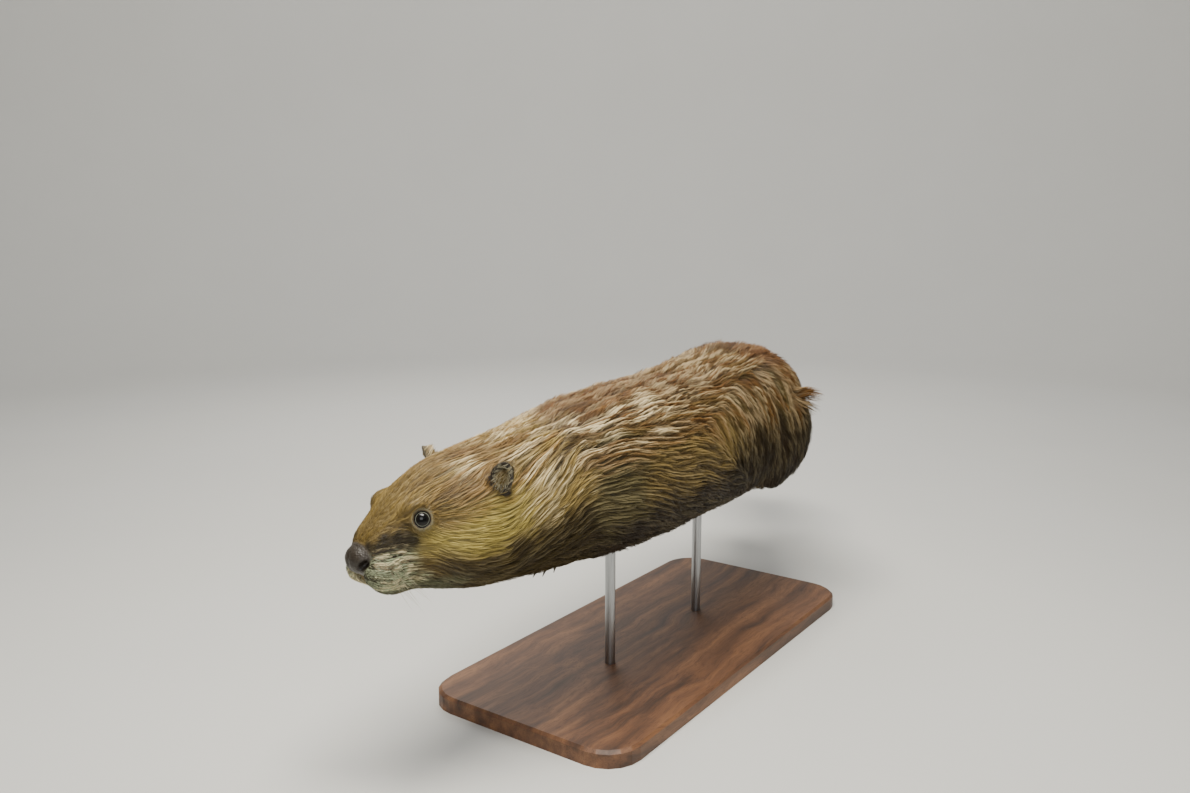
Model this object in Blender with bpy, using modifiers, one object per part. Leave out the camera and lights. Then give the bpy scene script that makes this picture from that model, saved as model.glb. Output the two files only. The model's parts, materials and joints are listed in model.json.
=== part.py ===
"""A North American beaver, life size, swimming level under water with its head lowered, on a display stand.

Metres, +Z up. The floor is z = 0, the beaver heads towards -X, and its left side faces -Y. The outer surface
of each solid is the surface of the coat, out to the tips of the hair.
"""

import math

import bmesh
import bpy
from mathutils import Matrix, Vector

# The animal, along its spine from the nose: how far each place lies behind the nose.
NECK_START, NECK_END = 0.115, 0.300
HIP_START, TAIL_ROOT = 0.600, 0.800
TAIL_LENGTH, TAIL_HALF_WIDTH, TAIL_HALF_THICKNESS = 0.262, 0.062, 0.0120
TRUNK_MIDDLE, TRUNK_HEIGHT = 0.450, 0.262

# The pose, in degrees. The body bends like a shallow C towards the animal's right, as in a turn.
HEAD_TURN, HEAD_DROP, HEAD_ROLL = 11.5, 7.5, 3.0
TAIL_TURN, TAIL_DROP = 36.0, 12.0

SIDES = ((1, "left"), (-1, "right"))

# Cuts between the parts.
GAP = 0.0004
HEAD_END, NECK_BACK, RUMP_END, TAIL_FRONT = 0.150, 0.248, 0.745, 0.808

# The stand.
BASE_LENGTH, BASE_WIDTH, BASE_THICKNESS, BASE_CORNER = 0.560, 0.260, 0.018, 0.040
ROD_RADIUS, ROD_SINK = 0.006, 0.008
ROD_PLACES = (("stand_rod_front", 0.345), ("stand_rod_rear", 0.545))

# Mesh fineness.
RING_POINTS, RING_STEP = 40, 0.006
BODY_VOXEL, FOOT_VOXEL = 0.0035, 0.0016
HEAD_DETAIL, BODY_DETAIL = 3500, 1300  # triangles in the whole body as the head is cut from, and the rest
REGION_TRIANGLES = 150

# Sections of the body: distance behind the nose, half width, height above and below the spine's line, and how
# much wider the lower half is than the upper one.
SECTIONS = (
    (0.000, 0.0165, 0.0080, 0.0240, 0.00),
    (0.016, 0.0250, 0.0220, 0.0360, 0.05),
    (0.036, 0.0315, 0.0375, 0.0450, 0.10),
    (0.064, 0.0420, 0.0525, 0.0560, 0.14),
    (0.095, 0.0560, 0.0615, 0.0675, 0.15),
    (0.125, 0.0630, 0.0640, 0.0745, 0.12),
    (0.165, 0.0670, 0.0665, 0.0830, 0.06),
    (0.215, 0.0745, 0.0710, 0.0905, 0.04),
    (0.280, 0.0880, 0.0800, 0.0960, 0.05),
    (0.360, 0.0960, 0.0855, 0.0985, 0.06),
    (0.450, 0.0980, 0.0870, 0.0970, 0.06),
    (0.560, 0.1000, 0.0985, 0.0935, 0.05),
    (0.640, 0.0975, 0.1035, 0.0850, 0.04),
    (0.700, 0.0830, 0.0850, 0.0715, 0.02),
    (0.750, 0.0605, 0.0600, 0.0555, 0.00),
    (0.790, 0.0445, 0.0400, 0.0385, 0.00),
    (0.830, 0.0370, 0.0240, 0.0240, 0.00),
)
NOSE_ROUND = 0.014  # length over which the front of the muzzle rounds off
SQUARENESS = 2.3  # 2 is an ellipse, more is boxier

# Left-side lumps that round out the forms: place behind the nose, to the left and above the spine, and radii
# along, across and up. Each has a twin on the right.
LUMPS = {
    "whisker_pad": ((0.0200, 0.0160, -0.0180), (0.0230, 0.0165, 0.0190)),
    "brow": ((0.0540, 0.0280, 0.0310), (0.0170, 0.0124, 0.0105)),
    "cheek": ((0.1000, 0.0330, -0.0200), (0.0400, 0.0270, 0.0360)),
    "shoulder": ((0.2850, 0.0500, -0.0160), (0.0700, 0.0400, 0.0620)),
    "thigh": ((0.6420, 0.0580, -0.0140), (0.0780, 0.0490, 0.0710)),
}
CHIN = ((0.0370, 0.0, -0.0340), (0.0260, 0.0200, 0.0165))
CHEST_HOLLOW = ((0.2260, -0.0080, -0.0985), (0.0540, 0.0540, 0.0300))  # where the fore feet are held

EYE = ((0.0500, 0.0290, 0.0235), 0.0072)
EYE_HOLLOW = ((0.0490, 0.0400, 0.0215), 0.0125)
NOSE = ((0.0060, 0.0, -0.0050), (0.0130, 0.0165, 0.0132))
NOSTRIL = ((0.0014, 0.0136, -0.0070), (0.0044, 0.0050, 0.0023))
EAR_PLACE = (0.1295, 0.0580, 0.0405)
EAR_HALF_SIZES = (0.0120, 0.0024, 0.0195)  # width, thickness and height
EAR_CUP = 14.0  # curvature of the ear's cup, per metre
EAR_TURN, EAR_LEAN_OUT, EAR_LEAN_BACK = 46.0, 18.0, 24.0

# Legs, as places behind the nose, to the side and above the spine, with the radius at each.
FORE_LEGS = {
    "left": (
        ((0.290, 0.056, -0.012), 0.033),
        ((0.318, 0.060, -0.042), 0.026),
        ((0.304, 0.045, -0.064), 0.0195),
        ((0.274, 0.021, -0.080), 0.0130),
        ((0.258, 0.013, -0.084), 0.0108),
    ),
    "right": (
        ((0.290, 0.056, -0.012), 0.033),
        ((0.318, 0.060, -0.042), 0.026),
        ((0.304, 0.051, -0.064), 0.0195),
        ((0.274, 0.036, -0.080), 0.0130),
        ((0.258, 0.032, -0.085), 0.0108),
    ),
}
HIND_LEGS = {
    "left": (
        ((0.645, 0.060, -0.004), 0.044),
        ((0.600, 0.064, -0.040), 0.042),
        ((0.625, 0.064, -0.058), 0.029),
        ((0.680, 0.052, -0.064), 0.0200),
        ((0.725, 0.044, -0.066), 0.0140),
        ((0.745, 0.041, -0.067), 0.0125),
    ),
    "right": (
        ((0.645, 0.060, -0.004), 0.044),
        ((0.596, 0.066, -0.040), 0.042),
        ((0.616, 0.070, -0.060), 0.029),
        ((0.664, 0.068, -0.074), 0.0200),
        ((0.705, 0.064, -0.082), 0.0140),
        ((0.723, 0.062, -0.086), 0.0125),
    ),
}

# How far the cut that parts a leg from the trunk lies outside the leg, joint by joint.
LEG_MARGINS = (0.0120, 0.0090, 0.0070, 0.0060, 0.0050, 0.0050)

# The feet. A digit has an angle to the foot's line, a length and where its root lies to the side. bend is how
# much a foot curls down towards its toes, per metre. A claw has a length beyond the toe and a root radius.
FEET = {
    "hind": {
        "digits": (
            (-19.0, 0.052, -0.0140),
            (-9.0, 0.068, -0.0080),
            (1.0, 0.076, 0.0),
            (10.0, 0.072, 0.0080),
            (20.0, 0.058, 0.0140),
        ),
        "sole": 0.064,
        "ankle": 0.0105,
        "half_width": 0.0165,
        "toe_radius": 0.0050,
        "bend": 3.0,
        "claw": (0.0120, 0.0023),
        "triangles": 230,
    },
    "fore": {
        "digits": (
            (-26.0, 0.018, -0.0090),
            (-12.0, 0.026, -0.0056),
            (0.0, 0.029, 0.0),
            (12.0, 0.027, 0.0056),
            (26.0, 0.021, 0.0090),
        ),
        "sole": 0.024,
        "ankle": 0.0088,
        "half_width": 0.0115,
        "toe_radius": 0.0040,
        "bend": 9.0,
        "claw": (0.0105, 0.0018),
        "triangles": 150,
    },
}
CLAW_ROOT, WEB_THICKNESS, FOOT_REACH = 0.0065, 0.0034, 0.160
# How each foot lies: its way forward, in the body's own frame there (forwards, left, up), and its roll.
FOOT_WAYS = {
    "fore_left": ((0.97, -0.20, -0.02), 12.0),
    "fore_right": ((0.98, 0.14, -0.05), -12.0),
    "hind_left": ((-0.97, -0.22, -0.06), 150.0),
    "hind_right": ((-0.93, 0.10, -0.34), -165.0),
}

COLOURS = {
    "coat": ((0.33, 0.20, 0.09, 1.0), 0.75),
    "tail_leather": ((0.05, 0.045, 0.04, 1.0), 0.55),
    "foot_leather": ((0.06, 0.05, 0.045, 1.0), 0.55),
    "nose_leather": ((0.03, 0.026, 0.024, 1.0), 0.45),
    "eye": ((0.010, 0.008, 0.007, 1.0), 0.08),
    "claw": ((0.09, 0.07, 0.055, 1.0), 0.40),
    "stand_wood": ((0.10, 0.055, 0.03, 1.0), 0.45),
    "stand_metal": ((0.35, 0.35, 0.36, 1.0), 0.35),
}


def clear_scene():
    for old in list(bpy.data.objects):
        bpy.data.objects.remove(old)


def collection(name):
    made = bpy.data.collections.new(name)
    bpy.context.scene.collection.children.link(made)
    return made


def ease(x):
    """0 below 0, 1 above 1, and a smooth step between them."""
    x = min(1.0, max(0.0, x))
    return x * x * (3 - 2 * x)


def through(table, column, s):
    """Smooth curve through one column of a table whose first column is the distance."""
    at = [row[0] for row in table]
    value = [row[column] for row in table]
    s = min(max(s, at[0]), at[-1])
    i = min(max(j for j, a in enumerate(at) if a <= s), len(at) - 2)

    def slope(j):
        low, high = max(j - 1, 0), min(j + 1, len(at) - 1)
        return (value[high] - value[low]) / (at[high] - at[low])

    width = at[i + 1] - at[i]
    t = (s - at[i]) / width
    start = (2 * t**3 - 3 * t**2 + 1) * value[i] + (t**3 - 2 * t**2 + t) * width * slope(i)
    end = (3 * t**2 - 2 * t**3) * value[i + 1] + (t**3 - t**2) * width * slope(i + 1)
    return start + end


def forward(s):
    """The way the spine points, towards the nose, at this distance behind the nose."""
    head = 1 - ease((s - NECK_START) / (NECK_END - NECK_START))
    rear = ease((s - HIP_START) / (TAIL_ROOT + 0.6 * TAIL_LENGTH - HIP_START))
    turn = math.radians(HEAD_TURN * head - TAIL_TURN * rear)
    drop = math.radians(HEAD_DROP * head - TAIL_DROP * rear)
    return Vector((-math.cos(turn) * math.cos(drop), math.sin(turn) * math.cos(drop), -math.sin(drop)))


def spine(s):
    """The spine's place at this distance behind the nose, summed in short steps from the trunk's middle."""
    steps = max(1, round(abs(s - TRUNK_MIDDLE) / 0.004))
    step = (s - TRUNK_MIDDLE) / steps
    place = Vector((0.0, 0.0, TRUNK_HEIGHT))
    for i in range(steps):
        place -= forward(TRUNK_MIDDLE + (i + 0.5) * step) * step
    return place


def frame_at(s):
    """Matrix whose axes are the spine's way forward, the animal's left and up, at its place at s."""
    ahead = forward(s)
    left = Vector((0, 0, 1)).cross(ahead).normalized()
    up = ahead.cross(left)
    roll = math.radians(HEAD_ROLL) * (1 - ease((s - NECK_START) / (NECK_END - NECK_START)))
    turned = Matrix((ahead, left, up)).transposed() @ Matrix.Rotation(roll, 3, "X")
    return Matrix.Translation(spine(s)) @ turned.to_4x4()


def body_point(place, side=1):
    """World place of (distance behind the nose, to the side, above the spine); side is 1 left, -1 right."""
    s, across, above = place
    return frame_at(s) @ Vector((0, side * across, above))


def head_frame():
    return frame_at(0.0)


def head_point(place, side=1):
    """As body_point, but in the head's own straight frame, which doesn't bend with the neck."""
    s, across, above = place
    return head_frame() @ Vector((-s, side * across, above))


def material(name):
    colour, roughness = COLOURS[name]
    made = bpy.data.materials.get(name) or bpy.data.materials.new(name)
    made.use_nodes = True
    made.diffuse_color = colour
    shader = made.node_tree.nodes["Principled BSDF"]
    shader.inputs["Base Color"].default_value = colour
    shader.inputs["Roughness"].default_value = roughness
    shader.inputs["Metallic"].default_value = 0.9 if name == "stand_metal" else 0.0
    return made


def add(name, bm, home, finish=None):
    """Makes an object of a bmesh, in the collection home."""
    bmesh.ops.recalc_face_normals(bm, faces=bm.faces)
    mesh = bpy.data.meshes.new(name)
    bm.to_mesh(mesh)
    bm.free()
    made = bpy.data.objects.new(name, mesh)
    home.objects.link(made)
    if finish:
        mesh.materials.append(material(finish))
    if home is helpers:
        made.hide_render = True
        made.display_type = "WIRE"
    return made


def shaped(obj):
    """The object's evaluated mesh, with its modifiers applied, in world space."""
    bpy.context.view_layer.update()
    graph = bpy.context.evaluated_depsgraph_get()
    mesh = bpy.data.meshes.new_from_object(obj.evaluated_get(graph))
    mesh.transform(obj.matrix_world)
    return mesh


def join_meshes(name, objects, home):
    """One object that holds the shaped meshes of these, which are removed."""
    bm = bmesh.new()
    for obj in objects:
        bm.from_mesh(shaped(obj))
        bpy.data.objects.remove(obj)
    bmesh.ops.remove_doubles(bm, verts=bm.verts, dist=1e-6)
    return add(name, bm, home)


def ellipsoid(name, place, radii, turn=None, segments=24, rings=14):
    """A closed ellipsoid with its own axes turned by a matrix."""
    bm = bmesh.new()
    bmesh.ops.create_uvsphere(bm, u_segments=segments, v_segments=rings, radius=1.0)
    made = add(name, bm, helpers)
    turn = (turn or Matrix.Identity(4)).to_3x3().to_4x4()
    made.data.transform(Matrix.Translation(place) @ turn @ Matrix.Diagonal((*radii, 1.0)))
    return made


def ball(name, place, radius, segments, rings, turn=None):
    return ellipsoid(name, place, (radius,) * 3, turn, segments, rings)


def tapered_tube(name, points, radii, resolution=6, bevel=4):
    """A round tube through the points, with a radius at each, as a closed mesh."""
    curve = bpy.data.curves.new(name, "CURVE")
    curve.dimensions = "3D"
    curve.bevel_depth = 1.0
    curve.bevel_resolution = bevel
    curve.resolution_u = resolution
    curve.use_fill_caps = True
    spline = curve.splines.new("BEZIER")
    spline.bezier_points.add(len(points) - 1)
    for knot, point, radius in zip(spline.bezier_points, points, radii):
        knot.co, knot.radius = point, radius
        knot.handle_left_type = knot.handle_right_type = "AUTO"
    obj = bpy.data.objects.new(name, curve)
    helpers.objects.link(obj)
    return join_meshes(name, [obj], helpers)


def sausage(name, points, radii, resolution=6, bevel=4):
    """A tapered tube with a ball at each end, as one closed set of shells."""
    balls = [ball(f"{name}_end", points[i], radii[i], 16, 10) for i in (0, -1)]
    return join_meshes(name, [tapered_tube(name, points, radii, resolution, bevel), *balls], helpers)


def close_rings(bm, rings):
    """Joins rings of vertices into one closed tube with flat ends."""
    for before, after in zip(rings, rings[1:]):
        for i, _ in enumerate(before):
            j = (i + 1) % len(before)
            bm.faces.new((before[i], before[j], after[j], after[i]))
    bm.faces.new(rings[0])
    bm.faces.new(list(reversed(rings[-1])))


def body_loft():
    """The head, neck, trunk and root of the tail, as rings of the sections set along the spine."""
    bm = bmesh.new()
    length = SECTIONS[-1][0]
    count = round(length / RING_STEP)
    rings = []
    for k in range(count + 1):
        s = length * (k / count) ** 1.15
        round_off = math.sqrt(max(0.02, 1 - max(0.0, 1 - s / NOSE_ROUND) ** 2))
        half, above, below, low = (through(SECTIONS, column, s) for column in (1, 2, 3, 4))
        frame = frame_at(s)
        ring = []
        for i in range(RING_POINTS):
            angle = 2 * math.pi * i / RING_POINTS
            c, n = math.cos(angle), math.sin(angle)
            across = half * math.copysign(abs(c) ** (2 / SQUARENESS), c) * (1 - low * n)
            height = (above if n > 0 else below) * math.copysign(abs(n) ** (2 / SQUARENESS), n)
            ring.append(bm.verts.new(frame @ Vector((0, across * round_off, height * round_off))))
        rings.append(ring)
    close_rings(bm, rings)
    return add("body_loft", bm, helpers)


def tail_half_width(t):
    """Half the tail's width at t, from 0 at its root to 1 at its tip: a rounded paddle."""
    root = 0.58
    swell = root + (1 - root) * ease(t / 0.55)
    return TAIL_HALF_WIDTH * swell * math.sqrt(max(0.0, 1 - max(0.0, (t - 0.52) / 0.48) ** 2.6))


def tail_paddle():
    """The flat tail: flattened rings along the spine's line, thick in the middle and thin at the rim."""
    bm = bmesh.new()
    count = 30
    rings = []
    for k in range(count + 1):
        t = 0.5 - 0.5 * math.cos(math.pi * k / count)
        t = min(t, 0.997)
        half = max(tail_half_width(t), 0.004)
        thick = TAIL_HALF_THICKNESS * (1.5 - 1.05 * ease(t / 0.9))
        frame = frame_at(TAIL_ROOT - 0.03 + t * (TAIL_LENGTH + 0.03))
        ring = []
        for i in range(RING_POINTS):
            angle = 2 * math.pi * i / RING_POINTS
            across = math.cos(angle)
            height = math.sin(angle) * (0.72 + 0.28 * (1 - across**2)) * min(1.0, half / 0.02)
            ring.append(bm.verts.new(frame @ Vector((0, across * half, height * thick))))
        rings.append(ring)
    close_rings(bm, rings)
    return add("tail_paddle", bm, helpers)


def whole_body():
    """Body, legs and tail as one smooth closed mesh: once finely, for the head, and once coarsely."""
    shells = [body_loft(), tail_paddle()]
    for name, (place, radii) in LUMPS.items():
        for side, _ in SIDES:
            at, turned = head_point(place, side), head_frame()
            if place[0] > HEAD_END:
                at, turned = body_point(place, side), frame_at(place[0])
            shells.append(ellipsoid(name, at, radii, turned))
    shells.append(ellipsoid("chin", head_point(CHIN[0]), CHIN[1], head_frame()))
    for side, word in SIDES:
        shells.append(sausage("fore_leg", *leg_line(FORE_LEGS[word], side)))
        shells.append(sausage("hind_leg", *leg_line(HIND_LEGS[word], side)))
    whole = join_meshes("whole", shells, helpers)
    smooth_over(whole, BODY_VOXEL, 8)
    place, radii = CHEST_HOLLOW
    cut(whole, ellipsoid("chest_hollow", body_point(place), radii, frame_at(place[0])))
    for side, _ in SIDES:
        cut(whole, ball(f"eye_hollow_{side}", head_point(EYE_HOLLOW[0], side), EYE_HOLLOW[1], 32, 20))
    smooth_over(whole, BODY_VOXEL, 3)
    return reduce_mesh(whole, HEAD_DETAIL, keep=True), reduce_mesh(whole, BODY_DETAIL)


def leg_line(joints, side):
    """The world places along a leg and the radius at each."""
    return [body_point(place, side) for place, _ in joints], [radius for _, radius in joints]


def smooth_over(obj, voxel, passes):
    """Makes one skin of an object's shells and softens it."""
    remesh = obj.modifiers.new("merge", "REMESH")
    remesh.mode, remesh.voxel_size = "VOXEL", voxel
    smooth = obj.modifiers.new("soften", "SMOOTH")
    smooth.factor, smooth.iterations = 0.5, passes


def reduce_mesh(obj, triangles, keep=False):
    """A helper with the object's shape in about this many triangles, in its place unless keep is set."""
    mesh = shaped(obj)
    name = obj.name
    if not keep:
        bpy.data.objects.remove(obj)
    made = bpy.data.objects.new(name, mesh)
    helpers.objects.link(made)
    mesh.calc_loop_triangles()
    fewer = made.modifiers.new("fewer", "DECIMATE")
    fewer.ratio = min(1.0, triangles / len(mesh.loop_triangles))
    fewer.use_collapse_triangulate = True
    settle(made)
    made.hide_render, made.display_type = True, "WIRE"
    return made


def settle(obj):
    """Turns an object's modifiers into its mesh."""
    mesh = shaped(obj)
    mesh.transform(obj.matrix_world.inverted())
    obj.modifiers.clear()
    obj.data = mesh


def cut(obj, cutter, operation="DIFFERENCE"):
    modifier = obj.modifiers.new(operation.lower(), "BOOLEAN")
    modifier.object, modifier.operation, modifier.solver = cutter, operation, "EXACT"


def largest_piece(obj):
    """Keeps only the largest connected piece of an object's mesh."""
    bm = bmesh.new()
    bm.from_mesh(obj.data)
    bmesh.ops.remove_doubles(bm, verts=bm.verts, dist=2e-5)
    bmesh.ops.dissolve_degenerate(bm, edges=bm.edges, dist=2e-5)
    left, pieces = set(bm.verts), []
    while left:
        start = left.pop()
        piece, edge = {start}, [start]
        while edge:
            for link in edge.pop().link_edges:
                for vertex in link.verts:
                    if vertex not in piece:
                        piece.add(vertex)
                        edge.append(vertex)
        left -= piece
        pieces.append(piece)
    biggest = max(pieces, key=len)
    bmesh.ops.delete(bm, geom=[v for v in bm.verts if v not in biggest], context="VERTS")
    bmesh.ops.triangulate(bm, faces=bm.faces)
    bm.to_mesh(obj.data)
    bm.free()


def part(name, source, finish, keep=(), away=()):
    """A named solid: what of the source lies in every cutter of keep, less the cutters in away."""
    made = bpy.data.objects.new(name, source.data.copy())
    parts.objects.link(made)
    for cutter in keep:
        cut(made, cutter, "INTERSECT")
    for cutter in away:
        cut(made, cutter)
    settle(made)
    largest_piece(made)
    made.data.materials.clear()
    made.data.materials.append(material(finish))
    for polygon in made.data.polygons:
        polygon.material_index = 0
    made.data.shade_smooth()
    return made


def box_between(name, front_frame, back_frame, half):
    """A block across a line, from one frame's section plane to another's."""
    bm = bmesh.new()
    ends = []
    for frame in (front_frame, back_frame):
        corners = ((1, 1), (-1, 1), (-1, -1), (1, -1))
        ends.append([bm.verts.new(frame @ Vector((0, y * half, z * half))) for y, z in corners])
    close_rings(bm, ends)
    return add(name, bm, helpers)


def slab(name, s_front, s_back, half=0.19):
    """What lies between two places along the spine, half a gap in from each."""
    return box_between(name, frame_at(s_front + GAP / 2), frame_at(s_back - GAP / 2), half)


def leg_region(name, joints, side):
    """The leg's own tube, a little fatter, which marks off the leg from the trunk."""
    points, radii = leg_line(joints, side)
    radii = [radius + margin for radius, margin in zip(radii, LEG_MARGINS)]
    tube = sausage(name, points, radii, resolution=5, bevel=3)
    smooth_over(tube, 0.005, 4)
    return reduce_mesh(tube, REGION_TRIANGLES)


def swollen(obj, amount):
    """A copy of a helper whose surface lies this far outside its own."""
    made = bpy.data.objects.new(f"around_{obj.name}", obj.data.copy())
    helpers.objects.link(made)
    made.hide_render, made.display_type = True, "WIRE"
    shifts = [vertex.normal * amount for vertex in made.data.vertices]
    for vertex, shift in zip(made.data.vertices, shifts):
        vertex.co += shift
    return made


def foot_frame(name, side, word, joints):
    """Matrix at the end of a leg whose axes are the foot's way forward, its left and its upper side."""
    place = joints[-1][0]
    way, roll = FOOT_WAYS[f"{name}_{word}"]
    here = frame_at(place[0]).to_3x3()
    ahead = (here @ Vector((way[0], side * way[1], way[2]))).normalized()
    up = here @ Vector((0, 0, 1))
    left = up.cross(ahead).normalized()
    up = ahead.cross(left)
    turned = Matrix((ahead, left, up)).transposed() @ Matrix.Rotation(math.radians(roll), 3, "X")
    return Matrix.Translation(body_point(place, side)) @ turned.to_4x4()


def bent(kind, point):
    """A foot's own place, curled down along an arc beyond most of the sole."""
    start, bend = 0.8 * FEET[kind]["sole"], FEET[kind]["bend"]
    x, y, z = point
    angle = bend * max(0.0, x - start)
    if angle == 0:
        return Vector(point)
    reach = start + math.sin(angle) / bend
    drop = (1 - math.cos(angle)) / bend
    return Vector((reach + z * math.sin(angle), y, z * math.cos(angle) - drop))


def digit_line(kind, digit, count=6):
    """Places along a digit, from inside the sole to its tip, in the foot's flat frame."""
    angle, length, across = digit
    turn = math.radians(angle)
    along = Vector((math.cos(turn), math.sin(turn), 0))
    start = Vector((0.9 * FEET[kind]["sole"], across, 0))
    return [start + along * length * (-0.15 + 1.15 * k / (count - 1)) for k in range(count)]


def foot(kind, frame):
    """A foot's flesh as one mesh: sole, digits and, behind, the webs between them."""
    size = FEET[kind]
    sole, ankle, wide = size["sole"], size["ankle"], size["half_width"]
    sole_points = [Vector((sole * t, 0, -0.003 * t)) for t in (-0.22, 0.25, 0.6, 0.95)]
    sole_radii = [ankle, ankle * 0.98, wide * 0.66, wide * 0.55]
    shells = [sausage("sole", sole_points, sole_radii, resolution=4, bevel=3)]
    pad_radii = (sole * 0.26, wide * 1.2, ankle * 0.72)
    shells.append(ellipsoid("pad", Vector((sole * 0.88, 0, -0.001)), pad_radii))
    for digit in size["digits"]:
        line = digit_line(kind, digit)
        thick = [size["toe_radius"] * (1.15 - 0.35 * k / (len(line) - 1)) for k in range(len(line))]
        shells.append(sausage("digit", [bent(kind, p) for p in line], thick, resolution=3, bevel=2))
    if kind == "hind":
        for first, second in zip(size["digits"], size["digits"][1:]):
            shells.append(web(kind, first, second))
    flesh = join_meshes(f"{kind}_flesh", shells, helpers)
    flesh.data.transform(frame)
    smooth_over(flesh, FOOT_VOXEL, 2)
    return reduce_mesh(flesh, size["triangles"])


def web(kind, first, second):
    """The web between two digits: a thin curved sheet with a hollow front edge."""
    lines = [digit_line(kind, digit, 7) for digit in (first, second)]
    rows = []
    for k in range(7):
        row = []
        for j in range(5):
            t = j / 4
            reach = 1 - 0.22 * math.sin(math.pi * t)
            at = [line[0].lerp(line[-1], 0.92 * reach * k / 6) for line in lines]
            row.append(at[0].lerp(at[1], t))
        rows.append(row)
    bm = bmesh.new()
    layers = []
    for lift in (WEB_THICKNESS / 2, -WEB_THICKNESS / 2):
        raised = Vector((0, 0, lift))
        layers.append([[bm.verts.new(bent(kind, p + raised)) for p in row] for row in rows])
    top, under = layers
    for i in range(6):
        for j in range(4):
            bm.faces.new((top[i][j], top[i + 1][j], top[i + 1][j + 1], top[i][j + 1]))
            bm.faces.new((under[i][j], under[i][j + 1], under[i + 1][j + 1], under[i + 1][j]))
    rim = [(i, 0) for i in range(7)] + [(6, j) for j in range(1, 5)]
    rim += [(i, 4) for i in range(5, -1, -1)] + [(0, j) for j in range(3, 0, -1)]
    for (a, b), (c, d) in zip(rim, rim[1:] + rim[:1]):
        bm.faces.new((top[a][b], under[a][b], under[c][d], top[c][d]))
    return add("web", bm, helpers)


def claw(name, kind, frame, digit, home, grown=0.0):
    """A curved tapered claw whose root sits in the digit's tip. grown makes the cutter for its bed."""
    length, radius = FEET[kind]["claw"]
    *_, before, tip = digit_line(kind, digit)
    along = (tip - before).normalized()
    steps, sides = 3, 6
    middles = []
    for k in range(steps + 1):
        t = k / steps
        place = tip + along * (t * length - (1 - t) * CLAW_ROOT) + Vector((0, 0, 0.0012 - 0.0045 * t * t))
        middles.append((bent(kind, place), radius * (1 - t**1.6) ** 0.7 + 0.00025 + grown))
    bm = bmesh.new()
    rings = []
    across = Vector((0, 1, 0))
    for k, (place, size) in enumerate(middles):
        ahead = (middles[min(k + 1, steps)][0] - middles[max(k - 1, 0)][0]).normalized()
        up = ahead.cross(across).normalized()
        centre = place + ahead * grown * {0: -1, steps: 1}.get(k, 0)
        ring = []
        for i in range(sides):
            angle = 2 * math.pi * i / sides
            spoke = across * 0.8 * math.cos(angle) + up * math.sin(angle)
            ring.append(bm.verts.new(centre + spoke * size))
        rings.append(ring)
    close_rings(bm, rings)
    made = add(name, bm, home, "claw" if home is parts else None)
    made.data.transform(frame)
    return made


def ear(name, side, home, grown=0.0):
    """A cupped round ear that stands on the side of the crown and opens forwards and outwards."""
    bm = bmesh.new()
    bmesh.ops.create_uvsphere(bm, u_segments=12, v_segments=8, radius=1.0)
    wide, thick, tall = (half + grown for half in EAR_HALF_SIZES)
    for vertex in bm.verts:
        x, y, z = vertex.co
        x, z = x * wide * (1 - 0.14 * z), z * tall
        vertex.co = Vector((x, side * (y * thick + EAR_CUP * (x * x + 0.4 * z * z)), z))
    turned = (
        head_frame().to_3x3().to_4x4()
        @ Matrix.Rotation(math.radians(-side * EAR_TURN), 4, "Z")
        @ Matrix.Rotation(math.radians(-EAR_LEAN_BACK), 4, "Y")
        @ Matrix.Rotation(math.radians(-side * EAR_LEAN_OUT), 4, "X")
    )
    placed = Matrix.Translation(head_point(EAR_PLACE, side)) @ turned
    bmesh.ops.transform(bm, matrix=placed, verts=bm.verts)
    return add(name, bm, home, "coat" if home is parts else None)


def eye(name, side, home, grown=0.0):
    made = ball(name, head_point(EYE[0], side), EYE[1] + grown, 12, 7, head_frame())
    if home is parts:
        take_out(made, "eye")
    return made


def nose(name, home, grown=0.0):
    """The bare nose pad, broad and rounded, with a slit at each side."""
    place, radii = NOSE
    made = ellipsoid(name, head_point(place), [r + grown for r in radii], head_frame(), segments=14, rings=7)
    if home is parts:
        for side, _ in SIDES:
            turned = head_frame().to_3x3() @ Matrix.Rotation(math.radians(side * 35), 3, "X")
            cut(made, ellipsoid("nostril", head_point(NOSTRIL[0], side), NOSTRIL[1], turned.to_4x4(), 8, 6))
        settle(made)
        largest_piece(made)
        take_out(made, "nose_leather")
    return made


def take_out(obj, finish):
    """Moves a helper among the parts, with its finish."""
    helpers.objects.unlink(obj)
    parts.objects.link(obj)
    obj.hide_render, obj.display_type = False, "TEXTURED"
    obj.data.materials.clear()
    obj.data.materials.append(material(finish))
    obj.data.shade_smooth()


def rounded_plate():
    """The stand's base: a flat plate with round corners and a small bevel on its upper edge."""
    bm = bmesh.new()
    outline = []
    for cx, cy, start in ((1, 1, 0), (-1, 1, 90), (-1, -1, 180), (1, -1, 270)):
        for k in range(6):
            angle = math.radians(start + 18 * k)
            x = cx * (BASE_LENGTH / 2 - BASE_CORNER) + BASE_CORNER * math.cos(angle)
            y = cy * (BASE_WIDTH / 2 - BASE_CORNER) + BASE_CORNER * math.sin(angle)
            outline.append((x, y))
    bevel = 0.003
    rings = []
    for height, inset in ((0.0, 0.0), (BASE_THICKNESS - bevel, 0.0), (BASE_THICKNESS, bevel)):
        grow_x, grow_y = 1 - 2 * inset / BASE_LENGTH, 1 - 2 * inset / BASE_WIDTH
        rings.append([bm.verts.new((x * grow_x, y * grow_y, height)) for x, y in outline])
    close_rings(bm, rings)
    return add("plate", bm, helpers)


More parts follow.
